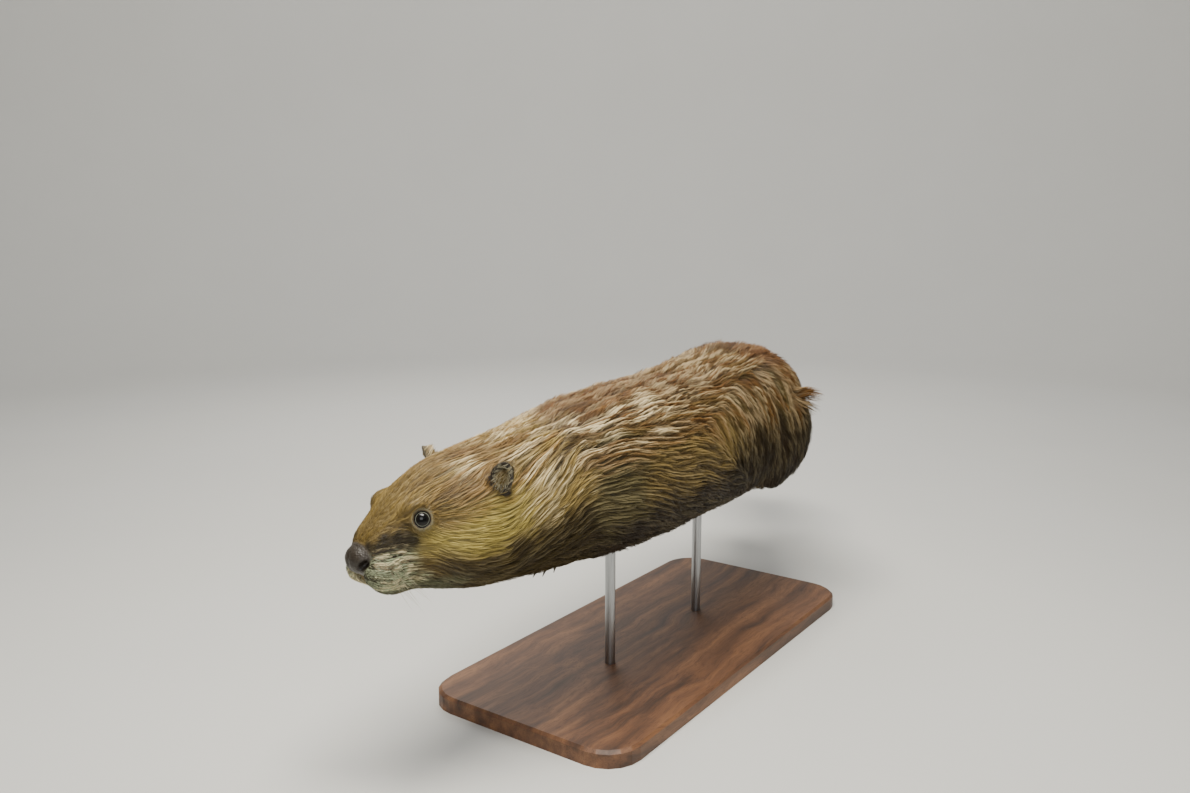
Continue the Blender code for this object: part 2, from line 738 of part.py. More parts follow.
def rod(name, s, home, grown=0.0):
    """A vertical rod from inside the base to a little way inside the belly at s along the spine."""
    foot_at = spine(s)
    low = through(SECTIONS, 3, s)
    bottom, top = BASE_THICKNESS - ROD_SINK - grown, foot_at.z - low + ROD_SINK + grown
    bm = bmesh.new()
    wide = ROD_RADIUS + grown
    bmesh.ops.create_cone(bm, cap_ends=True, segments=16, radius1=wide, radius2=wide, depth=top - bottom)
    bmesh.ops.translate(bm, vec=(foot_at.x, foot_at.y, (top + bottom) / 2), verts=bm.verts)
    return add(name, bm, home, "stand_metal" if home is parts else None)


def build():
    fine, whole = whole_body()
    fore_regions, hind_regions = {}, {}
    for side, word in SIDES:
        fore_regions[word] = leg_region(f"fore_region_{word}", FORE_LEGS[word], side)
        hind_regions[word] = leg_region(f"hind_region_{word}", HIND_LEGS[word], side)
    around_fore = [swollen(region, 2 * GAP) for region in fore_regions.values()]
    around_hind = [swollen(region, 2 * GAP) for region in hind_regions.values()]
    rods = [rod(f"{name}_socket", s, helpers, GAP) for name, s in ROD_PLACES]
    face = [nose("nose_bed", helpers, GAP)]
    for side, word in SIDES:
        face.append(eye(f"eye_bed_{word}", side, helpers, GAP))
        face.append(ear(f"ear_bed_{word}", side, helpers, GAP))
        eye(f"eye_{word}", side, parts)
        ear(f"ear_{word}", side, parts)
    nose("nose", parts)
    part("head", fine, "coat", [slab("head_slab", -0.05, HEAD_END)], face)
    part("neck", whole, "coat", [slab("neck_slab", HEAD_END, NECK_BACK)], around_fore)
    around_trunk = [*around_fore, *around_hind, *rods]
    part("trunk", whole, "coat", [slab("trunk_slab", NECK_BACK, RUMP_END)], around_trunk)
    part("tail_base", whole, "coat", [slab("tail_base_slab", RUMP_END, TAIL_FRONT)], around_hind)
    part("tail", whole, "tail_leather", [slab("tail_slab", TAIL_FRONT, TAIL_ROOT + TAIL_LENGTH + 0.05)])
    for side, word in SIDES:
        for kind, joints, region in (
            ("fore", FORE_LEGS[word], fore_regions[word]),
            ("hind", HIND_LEGS[word], hind_regions[word]),
        ):
            limb(kind, word, side, joints, region, whole)
    part("stand_base", rounded_plate(), "stand_wood", (), rods)
    for name, s in ROD_PLACES:
        rod(name, s, parts)


def limb(kind, word, side, joints, region, whole):
    """One leg with its foot and claws. The leg ends and the foot starts at the ankle's plane."""
    frame = foot_frame(kind, side, word, joints)

    def ahead(distance):
        return frame @ Matrix.Translation((distance, 0, 0))

    beyond = box_between("beyond_ankle", ahead(0), ahead(FOOT_REACH), 0.05)
    part(f"{kind}_leg_{word}", whole, "coat", [region], [beyond])
    digits = FEET[kind]["digits"]
    beds = [claw("claw_bed", kind, frame, digit, helpers, GAP / 2) for digit in digits]
    front = box_between("front_of_ankle", ahead(GAP), ahead(FOOT_REACH), 0.09)
    part(f"{kind}_foot_{word}", foot(kind, frame), "foot_leather", [front], beds)
    for number, digit in enumerate(digits, 1):
        claw(f"claw_{kind}_{word}_{number}", kind, frame, digit, parts)


clear_scene()
helpers = collection("helpers")
parts = collection("beaver")
build()
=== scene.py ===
import json
import math
import time
from types import SimpleNamespace

import bpy
import numpy as np
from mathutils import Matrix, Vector, bvhtree, kdtree

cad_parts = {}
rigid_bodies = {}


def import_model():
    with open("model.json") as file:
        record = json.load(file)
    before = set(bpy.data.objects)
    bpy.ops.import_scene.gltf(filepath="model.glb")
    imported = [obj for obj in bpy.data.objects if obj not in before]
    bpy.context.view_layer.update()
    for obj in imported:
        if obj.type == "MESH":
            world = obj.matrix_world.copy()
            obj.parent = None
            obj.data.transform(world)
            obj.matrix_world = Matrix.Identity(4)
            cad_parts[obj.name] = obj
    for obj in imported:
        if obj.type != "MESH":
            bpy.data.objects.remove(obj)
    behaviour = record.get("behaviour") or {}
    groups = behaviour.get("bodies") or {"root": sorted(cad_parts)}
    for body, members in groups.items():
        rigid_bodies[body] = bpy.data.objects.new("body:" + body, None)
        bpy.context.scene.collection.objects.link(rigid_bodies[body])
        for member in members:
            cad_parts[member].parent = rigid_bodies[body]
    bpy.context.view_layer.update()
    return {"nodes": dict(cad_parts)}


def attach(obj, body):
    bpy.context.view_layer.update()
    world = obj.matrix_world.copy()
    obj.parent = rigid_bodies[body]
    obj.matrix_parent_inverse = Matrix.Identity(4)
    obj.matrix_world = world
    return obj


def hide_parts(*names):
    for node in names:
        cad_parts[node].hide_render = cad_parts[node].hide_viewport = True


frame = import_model()
nodes = frame["nodes"]
startedAt = time.time()


def tell(stage):
    print(f"{time.time() - startedAt:6.1f} s  {stage}", flush=True)


# camera

view = {
    "place": (-1.0103, -0.6225, 0.5247),
    "heading": 35.43,  # degrees from +X towards +Y
    "dip": -9.89,
    "lens": 30.25,
    "nearest": 0.02,
}


def placeCamera():
    turn = (math.radians(90 + view["dip"]), 0, math.radians(view["heading"] - 90))
    bpy.ops.object.camera_add(location=view["place"], rotation=turn)
    camera = bpy.context.object
    camera.name = "camera"
    camera.data.lens = view["lens"]
    camera.data.sensor_fit = "HORIZONTAL"
    camera.data.sensor_width = 36
    camera.data.clip_start = view["nearest"]
    bpy.context.scene.camera = camera


# shader writing


def tone(red, green, blue):
    # a colour as eyes name it, 0 to 255, turned into the light that it reflects
    shares = [part / 255 for part in (red, green, blue)]
    return (*[s / 12.92 if s <= 0.04045 else ((s + 0.055) / 1.055) ** 2.4 for s in shares], 1.0)


class Wire:
    # a socket on which sums are written as plain expressions
    def __init__(self, finish, socket):
        self.finish = finish
        self.socket = socket

    def sum(self, operation, *pair):
        return self.finish.node("Math", {"operation": operation}, dict(enumerate(pair)))

    def __add__(self, other):
        return self.sum("ADD", self, other)

    def __sub__(self, other):
        return self.sum("SUBTRACT", self, other)

    def __rsub__(self, other):
        return self.sum("SUBTRACT", other, self)

    def __mul__(self, other):
        return self.sum("MULTIPLY", self, other)

    def orMore(self, other):
        return self.sum("MAXIMUM", self, other)

    __radd__ = __add__
    __rmul__ = __mul__


class Finish:
    def __init__(self, name, **fixed):
        self.material = bpy.data.materials.new(name)
        self.material.use_nodes = True
        self.tree = self.material.node_tree
        self.shader = self.tree.nodes["Principled BSDF"]
        for word, value in fixed.items():
            self.shader.inputs[word.replace("_", " ")].default_value = value

    def node(self, kind, settings=None, inputs=None, output=0):
        made = self.tree.nodes.new("ShaderNode" + kind)
        for word, value in (settings or {}).items():
            if word == "stops":
                self.setStops(made.color_ramp, value)
            else:
                setattr(made, word, value)
        for word, value in (inputs or {}).items():
            if isinstance(value, Wire):
                self.tree.links.new(value.socket, made.inputs[word])
            else:
                made.inputs[word].default_value = value
        return Wire(self, made.outputs[output])

    def setStops(self, ramp, stops):
        while len(ramp.elements) < len(stops):
            ramp.elements.new(0.5)
        for element, (place, colour) in zip(ramp.elements, stops):
            element.position = place
            element.color = colour

    def mix(self, factor, first, second, blend="MIX"):
        settings = {"data_type": "RGBA", "blend_type": blend}
        return self.node("Mix", settings, {0: factor, 6: first, 7: second}, 2)

    def spread(self, value, low, high, newLow=0.0, newHigh=1.0):
        inputs = {"Value": value, "From Min": low, "From Max": high, "To Min": newLow, "To Max": newHigh}
        return self.node("MapRange", {"interpolation_type": "SMOOTHSTEP"}, inputs)

    def place(self, stretch=(1, 1, 1)):
        at = self.node("TexCoord", output="Object")
        return self.node("Mapping", None, {"Vector": at, "Scale": stretch})

    def noise(self, scale, detail=3.0, rough=0.55, at=None, output=0):
        inputs = {"Scale": scale, "Detail": detail, "Roughness": rough, "Vector": at or self.place()}
        return self.node("TexNoise", None, inputs, output)

    def cells(self, scale):
        return self.node("TexVoronoi", None, {"Scale": scale, "Vector": self.place()})

    def marks(self, name):
        # the three shares that a colour attribute of the mesh carries
        stored = self.node("Attribute", {"attribute_name": name})
        return [self.node("SeparateColor", None, {0: stored}, k) for k in range(3)]

    def feed(self, word, wire):
        self.tree.links.new(wire.socket, self.shader.inputs[word])

    def bump(self, height, distance, strength):
        inputs = {"Height": height, "Distance": distance, "Strength": strength}
        self.feed("Normal", self.node("Bump", None, inputs))


# mesh helpers


def choose(*objects):
    bpy.ops.object.select_all(action="DESELECT")
    for obj in objects:
        obj.select_set(True)
    bpy.context.view_layer.objects.active = objects[0]


def editAll(operator, **settings):
    # one mesh operator on the whole of the active object
    bpy.ops.object.mode_set(mode="EDIT")
    bpy.ops.mesh.select_all(action="SELECT")
    operator(**settings)
    bpy.ops.object.mode_set(mode="OBJECT")


def useModifier(obj, kind, **settings):
    choose(obj)
    bpy.ops.object.modifier_add(type=kind)
    modifier = obj.modifiers[-1]
    for word, value in settings.items():
        setattr(modifier, word, value)
    bpy.ops.object.modifier_apply(modifier=modifier.name)


def meshArrays(mesh):
    co = np.empty(len(mesh.vertices) * 3, np.float32)
    mesh.vertices.foreach_get("co", co)
    mesh.calc_loop_triangles()
    triangles = np.empty(len(mesh.loop_triangles) * 3, np.int32)
    mesh.loop_triangles.foreach_get("vertices", triangles)
    return co.reshape(-1, 3).astype(float), triangles.reshape(-1, 3)


def vertexNormals(co, triangles):
    a, b, c = (co[triangles[:, k]] for k in range(3))
    face = np.cross(b - a, c - a)
    total = np.zeros_like(co)
    for k in range(3):
        for axis in range(3):
            total[:, axis] += np.bincount(triangles[:, k], face[:, axis], len(co))
    return unit(total)


def surfaceTree(co, triangles):
    return bvhtree.BVHTree.FromPolygons(co.tolist(), triangles.tolist())


def weigh(obj, name, shares, levels=20):
    group = obj.vertex_groups.new(name=name)
    steps = np.round(np.clip(shares, 0, 1) * levels).astype(int)
    for step in np.unique(steps):
        if step:
            group.add(np.flatnonzero(steps == step).tolist(), step / levels, "REPLACE")


def store(mesh, name, parts):
    layer = mesh.color_attributes.new(name=name, type="FLOAT_COLOR", domain="POINT")
    values = np.ones((len(mesh.vertices), 4), np.float32)
    for k, part in enumerate(parts):
        values[:, k] = part
    layer.data.foreach_set("color", values.ravel())


def linked(name, mesh):
    piece = bpy.data.objects.new(name, mesh)
    bpy.context.collection.objects.link(piece)
    return piece


def pieceOf(name, points, faces):
    mesh = bpy.data.meshes.new(name)
    mesh.from_pydata([tuple(point) for point in points], [], faces)
    mesh.shade_smooth()
    piece = linked(name, mesh)
    choose(piece)
    editAll(bpy.ops.mesh.normals_make_consistent, inside=False)
    return piece


def ringFaces(start, rings, sides):
    # the walls between rings of points, and the cap on the last ring
    faces = []
    for ring in range(rings - 1):
        for j in range(sides):
            a, b = (start + ring * sides + k for k in (j, (j + 1) % sides))
            faces.append((a, b, b + sides, a + sides))
    return faces + [tuple(start + (rings - 1) * sides + j for j in range(sides))]


# number helpers


def ease(x):
    x = np.clip(x, 0.0, 1.0)
    return x * x * (3 - 2 * x)


def rise(x, start, width):
    # 0 up to start, 1 a width past it
    return ease((x - start) / width)


def fall(x, start, width):
    return 1 - rise(x, start, width)


def within(x, low, high, soft):
    # 1 between low and high, with soft edges of this width
    return ease((x - low) / soft + 0.5) * ease((high - x) / soft + 0.5)


def band(x, low, high, soft):
    # as within, but open on the side that has no limit
    if high is None:
        return rise(x, low, soft)
    return fall(x, high, soft) if low is None else within(x, low, high, soft)


def most(*shares):
    return np.maximum.reduce(shares)


def bell(far, size):
    return np.exp(-((far / size) ** 2))


def norms(vectors):
    return np.linalg.norm(vectors, axis=-1)


def unit(vectors):
    return vectors / np.maximum(np.linalg.norm(vectors, axis=-1, keepdims=True), 1e-9)


def dot(first, second):
    return np.einsum("...i,...i->...", first, second)


def waves(points, size, seed, count=7):
    # soft unevenness between about -1 and 1, with bumps of about this size
    chance = np.random.default_rng(seed)
    ways = unit(chance.normal(size=(count, 3))) * (2 * math.pi / size) * chance.uniform(0.5, 1.3, (count, 1))
    return np.sin(points @ ways.T + chance.uniform(0, 6.28, count)).sum(1) / math.sqrt(count / 2) / 1.6


# floor and lights

studio = {
    "floor": (205, 203, 197),
    "corners": 96,
    "reach": 2.7,
    "rim": 0.2,
    "cove": 1.3,
    "coveSteps": 14,
    "wall": 1.6,
    "worldColour": (196, 203, 212),
    "worldStrength": 0.42,
}
lamps = {
    # place, aim, width, height, watts, colour
    "overhead": ((-0.45, -0.15, 1.50), (-0.08, 0.0, 0.28), 0.90, 0.45, 38.0, (1.0, 0.97, 0.89)),
    "cameraLeft": ((-1.60, -1.10, 1.25), (-0.1, 0.0, 0.25), 1.2, 1.0, 15.0, (0.98, 0.985, 1.0)),
    "behindRight": ((1.00, 1.30, 1.50), (0.1, 0.0, 0.30), 1.0, 1.0, 10.0, (1.0, 0.97, 0.92)),
    "backdrop": ((1.10, 0.75, 2.60), (2.6, 1.85, 0.9), 2.4, 1.2, 60.0, (1.0, 0.99, 0.97)),
}


def makeFloor():
    # a round floor whose rim sweeps up into a wall
    radius, steps = studio["reach"], studio["coveSteps"]
    bpy.ops.mesh.primitive_circle_add(vertices=studio["corners"], radius=radius, fill_type="NGON")
    floor = bpy.context.object
    floor.name = "floor"
    editAll(bpy.ops.mesh.inset, thickness=studio["rim"])
    editAll(bpy.ops.mesh.select_all, action="DESELECT")
    for edge in floor.data.edges:
        edge.select = all(floor.data.vertices[v].co.length > radius - 0.01 for v in edge.vertices)
    bpy.ops.object.mode_set(mode="EDIT")
    bpy.ops.mesh.select_mode(type="EDGE")
    for k in range(steps + 1):
        low, high = (math.radians(90 * j / steps) for j in (k, k + 1))
        out = studio["cove"] * (math.sin(high) - math.sin(low))
        up = studio["cove"] * (math.cos(low) - math.cos(high))
        if k == steps:
            out, up = 0.0, studio["wall"]
        bpy.ops.mesh.extrude_region_move(TRANSFORM_OT_translate={"value": (0, 0, up)})
        bpy.ops.transform.resize(value=((radius + out) / radius,) * 2 + (1,), center_override=(0, 0, 0))
        radius += out
    bpy.ops.object.mode_set(mode="OBJECT")
    editAll(bpy.ops.mesh.normals_make_consistent, inside=True)
    bpy.ops.object.shade_smooth()
    paint = Finish("pale_floor", Roughness=0.75)
    low, high = tone(*studio["floor"]), tone(*[part + 5 for part in studio["floor"]])
    paint.feed("Base Color", paint.mix(paint.noise(3.0, 4.0), low, high))
    floor.data.materials.append(paint.material)


def makeLights():
    for name, (place, aim, wide, tall, watts, colour) in lamps.items():
        turn = (Vector(aim) - Vector(place)).to_track_quat("-Z", "Y").to_euler()
        bpy.ops.object.light_add(type="AREA", location=place, rotation=turn)
        lamp = bpy.context.object
        lamp.name = name
        lamp.data.shape = "RECTANGLE"
        lamp.data.size, lamp.data.size_y = wide, tall
        lamp.data.energy, lamp.data.color = watts, colour
    world = bpy.context.scene.world or bpy.data.worlds.new("world")
    bpy.context.scene.world = world
    world.use_nodes = True
    sky = world.node_tree.nodes["Background"]
    sky.inputs["Color"].default_value = tone(*studio["worldColour"])
    sky.inputs["Strength"].default_value = studio["worldStrength"]


bpy.ops.object.select_all(action="DESELECT")
placeCamera()
makeFloor()
makeLights()
tell("camera, floor and lights")

# the animal's own line, as it is bent in the solids

line = {
    "neck": (0.115, 0.300),  # the head's turn ends between these, behind the nose
    "hip": 0.600,
    "tailRoot": 0.800,
    "tailLength": 0.262,
    "middle": 0.450,
    "height": 0.262,
    "headTurn": 11.5,  # degrees, as are all turns here
    "headDrop": 7.5,
    "headRoll": 3.0,
    "tailTurn": 36.0,
    "tailDrop": 12.0,
    "ends": (-0.06, 1.12),
    "step": 0.002,
}


def layLine():
    # the spine's points and axes (ahead, left, up) at even steps behind the nose
    s = np.arange(*line["ends"], line["step"])

    def headShare(at):
        low, high = line["neck"]
        return fall(at, low, high - low)

    def forward(at):
        tailEnd = line["tailRoot"] + 0.6 * line["tailLength"]
        rear = rise(at, line["hip"], tailEnd - line["hip"])
        turn = np.radians(line["headTurn"] * headShare(at) - line["tailTurn"] * rear)
        drop = np.radians(line["headDrop"] * headShare(at) - line["tailDrop"] * rear)
        return np.stack([-np.cos(turn) * np.cos(drop), np.sin(turn) * np.cos(drop), -np.sin(drop)], -1)

    steps = -forward(s[:-1] + line["step"] / 2) * line["step"]
    places = np.concatenate([np.zeros((1, 3)), np.cumsum(steps, 0)])
    middle = np.array([np.interp(line["middle"], s, places[:, k]) for k in range(3)])
    places += np.array([0, 0, line["height"]]) - middle
    ahead = forward(s)
    left = unit(np.cross([0.0, 0.0, 1.0], ahead))
    up = np.cross(ahead, left)
    roll = np.radians(line["headRoll"]) * headShare(s)
    cosine, sine = np.cos(roll)[:, None], np.sin(roll)[:, None]
    return s, places, ahead, left * cosine + up * sine, up * cosine - left * sine


lineS, linePlace, lineAhead, lineLeft, lineUp = layLine()


def lineIndex(s):
    return np.clip(np.round((s - lineS[0]) / line["step"]).astype(int), 0, len(lineS) - 1)


def axesAt(s):
    i = lineIndex(s)
    return lineAhead[i], lineLeft[i], lineUp[i]


def bodyCoords(points):
    # how far each point lies behind the nose, to the left and above the spine
    s = np.interp(points[:, 0], linePlace[:, 0], lineS)
    for _ in range(6):
        i = lineIndex(s)
        s = lineS[i] - dot(points - linePlace[i], lineAhead[i])
    i = lineIndex(s)
    away = points - linePlace[i]
    return s, dot(away, lineLeft[i]), dot(away, lineUp[i])


def roundCoords(points):
    # as bodyCoords, and how far up and to the side round the body, as shares
    s, across, above = bodyCoords(points)
    reach = np.maximum(np.hypot(across, above), 0.001)
    return s, across, above, above / reach, np.abs(across) / reach


def bodyPoint(s, across, above):
    i = lineIndex(np.asarray(s, float))
    rest = (np.asarray(s, float) - lineS[i])[..., None] * -lineAhead[i]
    across, above = np.asarray(across)[..., None], np.asarray(above)[..., None]
    return linePlace[i] + rest + across * lineLeft[i] + above * lineUp[i]


def bodyWay(s, back, left, up):
    # a direction given as shares of backwards, left and up
    aheadAxis, leftAxis, upAxis = axesAt(s)
    return back[:, None] * -aheadAxis + left[:, None] * leftAxis + up[:, None] * upAxis


def bothSides(places):
    for side in (1, -1):
        yield [bodyPoint(s, across * side, above) for s, across, above in places]


def nearSpots(co, spots):
    # 1 in the middle of any of these places of both sides, 0 past its radius
    places, radii = zip(*spots)
    shares = [fall(norms(co - spot), 0, r) for side in bothSides(places) for spot, r in zip(side, radii)]
    return most(*shares)


def farFromLines(co, places):
    # how far each point lies from the line through these places of either side
    far = []
    for spots in bothSides(places):
        for start, end in zip(spots, spots[1:]):
            way = end - start
            along = np.clip((co - start) @ way / (way @ way), 0, 1)
            far.append(norms(co - (start + along[:, None] * way)))
    return np.minimum.reduce(far)


# skin

skinPlan = {
    "overlap": 0.0006,  # each node grows by this so that the cuts between nodes close
    "doubles": 0.00001,
    "voxel": 0.0016,
    "smoothing": 90,
    "triangles": 186000,
}
limbs = [(end, side) for end in ("fore", "hind") for side in ("left", "right")]
fleshNames = ["head", "neck", "trunk", "tail_base", "tail", "nose"]
fleshNames += ["ear_left", "ear_right"]
for end in ("fore", "hind"):
    fleshNames += [f"{end}_{part}_{side}" for part in ("leg", "foot") for side in ("left", "right")]


def mergedFlesh():
    copies = []
    for name in fleshNames + ["eye_left", "eye_right"]:
        choose(nodes[name])
        bpy.ops.object.duplicate()
        copies.append(bpy.context.object)
        bpy.ops.object.parent_clear(type="CLEAR")
    choose(*copies)
    bpy.ops.object.join()
    skin = bpy.context.object
    skin.name = "skin"
    skin.data.name = "skin"
    for word in list(skin.keys()):
        del skin[word]
    editAll(bpy.ops.mesh.remove_doubles, threshold=skinPlan["doubles"])
    useModifier(skin, "DISPLACE", strength=skinPlan["overlap"], mid_level=0.0)
    useModifier(skin, "REMESH", mode="VOXEL", voxel_size=skinPlan["voxel"])
    skin.data.materials.clear()
    return skin


def pointsOf(name):
    return meshArrays(nodes[name].data)[0]


def centreOf(name):
    spots = pointsOf(name)
    return (spots.min(0) + spots.max(0)) / 2


def nearness(name, co, reach):
    # 1 on the surface of this node, falling to 0 at this reach from it
    spots, faces = meshArrays(nodes[name].data)
    tree = surfaceTree(spots, faces)
    share = np.zeros(len(co))
    close = np.all((co > spots.min(0) - reach) & (co < spots.max(0) + reach), axis=1)
    for i in np.flatnonzero(close):
        distance = tree.find_nearest(Vector(co[i]), reach)[3]
        if distance is not None:
            share[i] = 1 - distance / reach
    return share


# eyes: a wide ball of which the lids leave a small disc free

eyePlan = {
    "ball": 0.0094,
    "disc": 0.0070,  # half of what the lids leave free
    "lid": 0.0088,  # the lid's crest from the eye's middle
    "blend": 0.0145,
    "shift": (0.0050, 0.0026, 0.0034),  # back, outwards and down from the middle of its solid
    "way": (0.36, 0.86, 0.34),  # ahead, outwards and up
    "at": 0.05,  # behind the nose
    "top": 0.0072,  # from the middle of its solid to the ball's front
    "crest": 0.0006,
    "under": 0.0014,  # the skin lies this much behind the ball's face
    "front": 0.006,  # hair and depth are measured from here, before the ball's middle
    "flat": (0.008, 0.009),  # the coat has no depth up to here, and all of it a width further
    "bare": (0.0085, 0.0016),
    "hair": ((0.0087, 0.022), (0.0022, 0.016)),  # its length at these distances
    "rimTint": (0.0087, 0.0096, 0.0007),
    "edgeTint": (0.0078, 0.0009),
}


def eyeFrame(side, name):
    ahead, left, up = axesAt(eyePlan["at"])
    forwards, outwards, upwards = eyePlan["way"]
    way = unit(outwards * side * left + forwards * ahead + upwards * up)
    back, out, down = eyePlan["shift"]
    middle = centreOf(name) - back * ahead + out * side * left - down * up
    return middle + way * eyePlan["top"] - way * eyePlan["ball"], way


eyeFrames = {name: eyeFrame(side, name) for side, name in ((1, "eye_left"), (-1, "eye_right"))}


def fromEyes(co):
    # the way and the distance to each point from the front of either eye
    for middle, way in eyeFrames.values():
        away = co - (middle + way * eyePlan["front"])
        yield away, norms(away)


def besideEye(co, middle, way):
    # how high each point lies along the eye's way, and how far beside it
    away = co - middle
    height = away @ way
    return away, height, norms(away - height[:, None] * way)


def shapeLids(co):
    ball, disc, lid, blend = (eyePlan[word] for word in ("ball", "disc", "lid", "blend"))
    ledge = math.sqrt(ball**2 - disc**2)  # where the lid's edge rests on the ball
    for middle, way in eyeFrames.values():
        _, height, out = besideEye(co, middle, way)
        under = np.sqrt(np.maximum(ball**2 - out**2, 0)) - eyePlan["under"]
        arch = ledge + 0.0003 + eyePlan["crest"] * np.sin(np.clip((out - disc) / (lid - disc), 0, 1) * math.pi / 2)
        wanted = np.where(out < disc, np.minimum(under, ledge - 0.0006), arch)
        share = np.where((out < blend) & (height > -0.004), fall(out, lid, blend - lid), 0)
        co = co + ((wanted - height) * share)[:, None] * way
    return co


# nose: a nostril at each side, and a shallow furrow down its middle

nosePlan = {
    "nostril": (0.0005, 0.0128, -0.0068),  # behind the tip, to the side, above the spine
    "way": (0.72, 0.68, -0.12),
    "halfSizes": (0.0064, 0.0042),
    "reach": 0.012,
    "depth": 0.0050,
    "furrow": 0.0008,
    "furrowWidth": 0.0016,
}


def nostrilFrames():
    back, out, above = nosePlan["nostril"]
    forwards, outwards, upwards = nosePlan["way"]
    ahead, left, up = axesAt(0.0)
    for side in (1, -1):
        way = unit(forwards * ahead + outwards * side * left + upwards * up)
        long = unit(np.cross(way, up) * -side + 0.45 * up)
        yield bodyPoint(back, out * side, above), long, np.cross(way, long)


def nostrilShare(co, wider=1.0):
    shares = []
    halfLong, halfShort = nosePlan["halfSizes"]
    for middle, long, short in nostrilFrames():
        away = co - middle
        out = np.hypot(away @ long / halfLong, away @ short / halfShort)
        shares.append(fall(out, 0.35, 0.75 * wider) * (norms(away) < nosePlan["reach"] * wider))
    return most(*shares)


def shapeNose(co):
    ahead, left, _ = axesAt(0.0)
    sides = (co - bodyPoint(0.0, 0.0, 0.0)) @ left
    inwards = -ahead - np.sign(sides)[:, None] * 0.55 * left
    co = co + (nostrilShare(co) * nosePlan["depth"])[:, None] * inwards
    s, across, above = bodyCoords(co)
    middle = bell(across, nosePlan["furrowWidth"])
    middle *= within(s, -0.02, 0.010, 0.004) * within(above, -0.030, 0.004, 0.006)
    return co - (middle * nosePlan["furrow"])[:, None] * ahead


# mouth: the line under the whisker pads

mouthPlan = {
    "places": ((0.004, 0.004, -0.0235), (0.013, 0.017, -0.0265), (0.028, 0.025, -0.0300), (0.045, 0.030, -0.0345)),
    "width": 0.0016,
    "depth": 0.0022,
}


def shapeMouth(co, normals):
    share = bell(farFromLines(co, mouthPlan["places"]), mouthPlan["width"])
    return co - (share * mouthPlan["depth"])[:, None] * normals


# ears: hollowed on the side that opens forwards, full and furred behind

earPlan = {
    "at": 0.13,  # behind the nose
    "halfSizes": (0.0120, 0.0195),
    "hollow": 0.0022,
    "hollowEdge": (0.49, 0.25),
    "back": 0.0045,
    "backReach": 1.1,
}


def earFrame(name):
    # middle, and the axes of thickness (towards the opening), of height and of width
    spots = pointsOf(name)
    middle = centreOf(name)
    axes = np.linalg.eigh(np.cov((spots - spots.mean(0)).T))[1]
    thick, tall = axes[:, 0], axes[:, 2]
    ahead, left, up = axesAt(earPlan["at"])
    outwards = ahead + np.sign((middle - linePlace[lineIndex(earPlan["at"])]) @ left) * left
    thick = thick * np.sign(thick @ outwards)
    tall = tall * np.sign(tall @ up)
    return middle, thick, tall, np.cross(tall, thick)


earFrames = {name: earFrame(name) for name in ("ear_left", "ear_right")}


def inEars(co):
    # for either ear: how far a point lies from its middle, 1 at its rim, how high on its open side, and that side
    halfWide, halfTall = earPlan["halfSizes"]
    for middle, thick, tall, wide in earFrames.values():
        away = co - middle
        yield np.hypot(away @ wide / halfWide, away @ tall / halfTall), away @ thick, thick


def earBack(co):
    # 1 on the furred back of either ear
    return most(*[(out < 1.15) * rise(-up, -0.0005, 0.0020) * (up > -0.013) for out, up, _ in inEars(co)])


def shapeEars(co, normals):
    for out, height, thick in inEars(co):
        facing = normals @ thick
        close = (out < 1.3) & (np.abs(height) < 0.012)
        deep = earPlan["hollow"] * fall(out, *earPlan["hollowEdge"]) * rise(facing, 0.1, 0.5) * close
        behind = rise(-facing, 0.1, 0.5) * (out < earPlan["backReach"]) * close
        full = earPlan["back"] * fall(out, 0, earPlan["backReach"]) * behind
        co = co - (deep + full)[:, None] * thick
    return co


# how deep the coat lies, by place

coatPlan = {
    "places": (0.0, 0.03, 0.075, 0.12, 0.20),  # behind the nose
    "depths": (0.00108, 0.0018, 0.0026, 0.0036, 0.0072),
    "tailPlaces": (0.72, 0.82),
    "tailDepths": (0.0072, 0.0030),
    "limb": 0.45,  # this share less on the limbs
    "groove": 0.45,
    # node, how soon the coat thins near it, and the depth that is left there
    "ends": (("ear", 1.6, 0.0005), ("footSoft", 1.1, 0.0003), ("tailSoft", 1.1, 0.0006), ("nose", 1.6, 0.0)),
}


def toward(value, kept, share):
    # brings a value down to what is kept of it, by this share
    return value + (np.minimum(kept, value) - value) * ease(share)


def layDepth(co, near):
    s = bodyCoords(co)[0]
    depth = np.interp(s, coatPlan["places"], coatPlan["depths"])
    depth = np.minimum(depth, np.interp(s, coatPlan["tailPlaces"], coatPlan["tailDepths"]))
    depth = depth * (1 - near["limb"] * coatPlan["limb"])
    for word, speed, kept in coatPlan["ends"]:
        depth = toward(depth, kept, near[word] * speed)
    for _, far in fromEyes(co):
        depth = depth * rise(far, *eyePlan["flat"])
    return depth * (1 - coatPlan["groove"] * nearGroove(co))


def placesNear(co):
    near = {
        "ear": most(nearness("ear_left", co, 0.004), nearness("ear_right", co, 0.004)),
        "nose": nearness("nose", co, 0.003),
        "tailSoft": nearness("tail", co, 0.036),
        "footSoft": np.zeros(len(co)),
        "limb": np.zeros(len(co)),
    }
    near["tail"] = np.clip(1 - (1 - near["tailSoft"]) * 6, 0, 1)
    for end, side in limbs:
        foot, leg = f"{end}_foot_{side}", f"{end}_leg_{side}"
        soft = nearness(foot, co, 0.024)
        near["footSoft"] = most(near["footSoft"], soft)
        near[foot], near[leg] = np.clip(1 - (1 - soft) * 8, 0, 1), nearness(leg, co, 0.009)
        near["limb"] = most(near["limb"], near[leg] * fall(norms(co - centreOf(foot)), 0.055, 0.05))
    for part in ("foot", "leg"):
        near[part] = most(*[near[word] for word in near if f"_{part}_" in word])
    return near


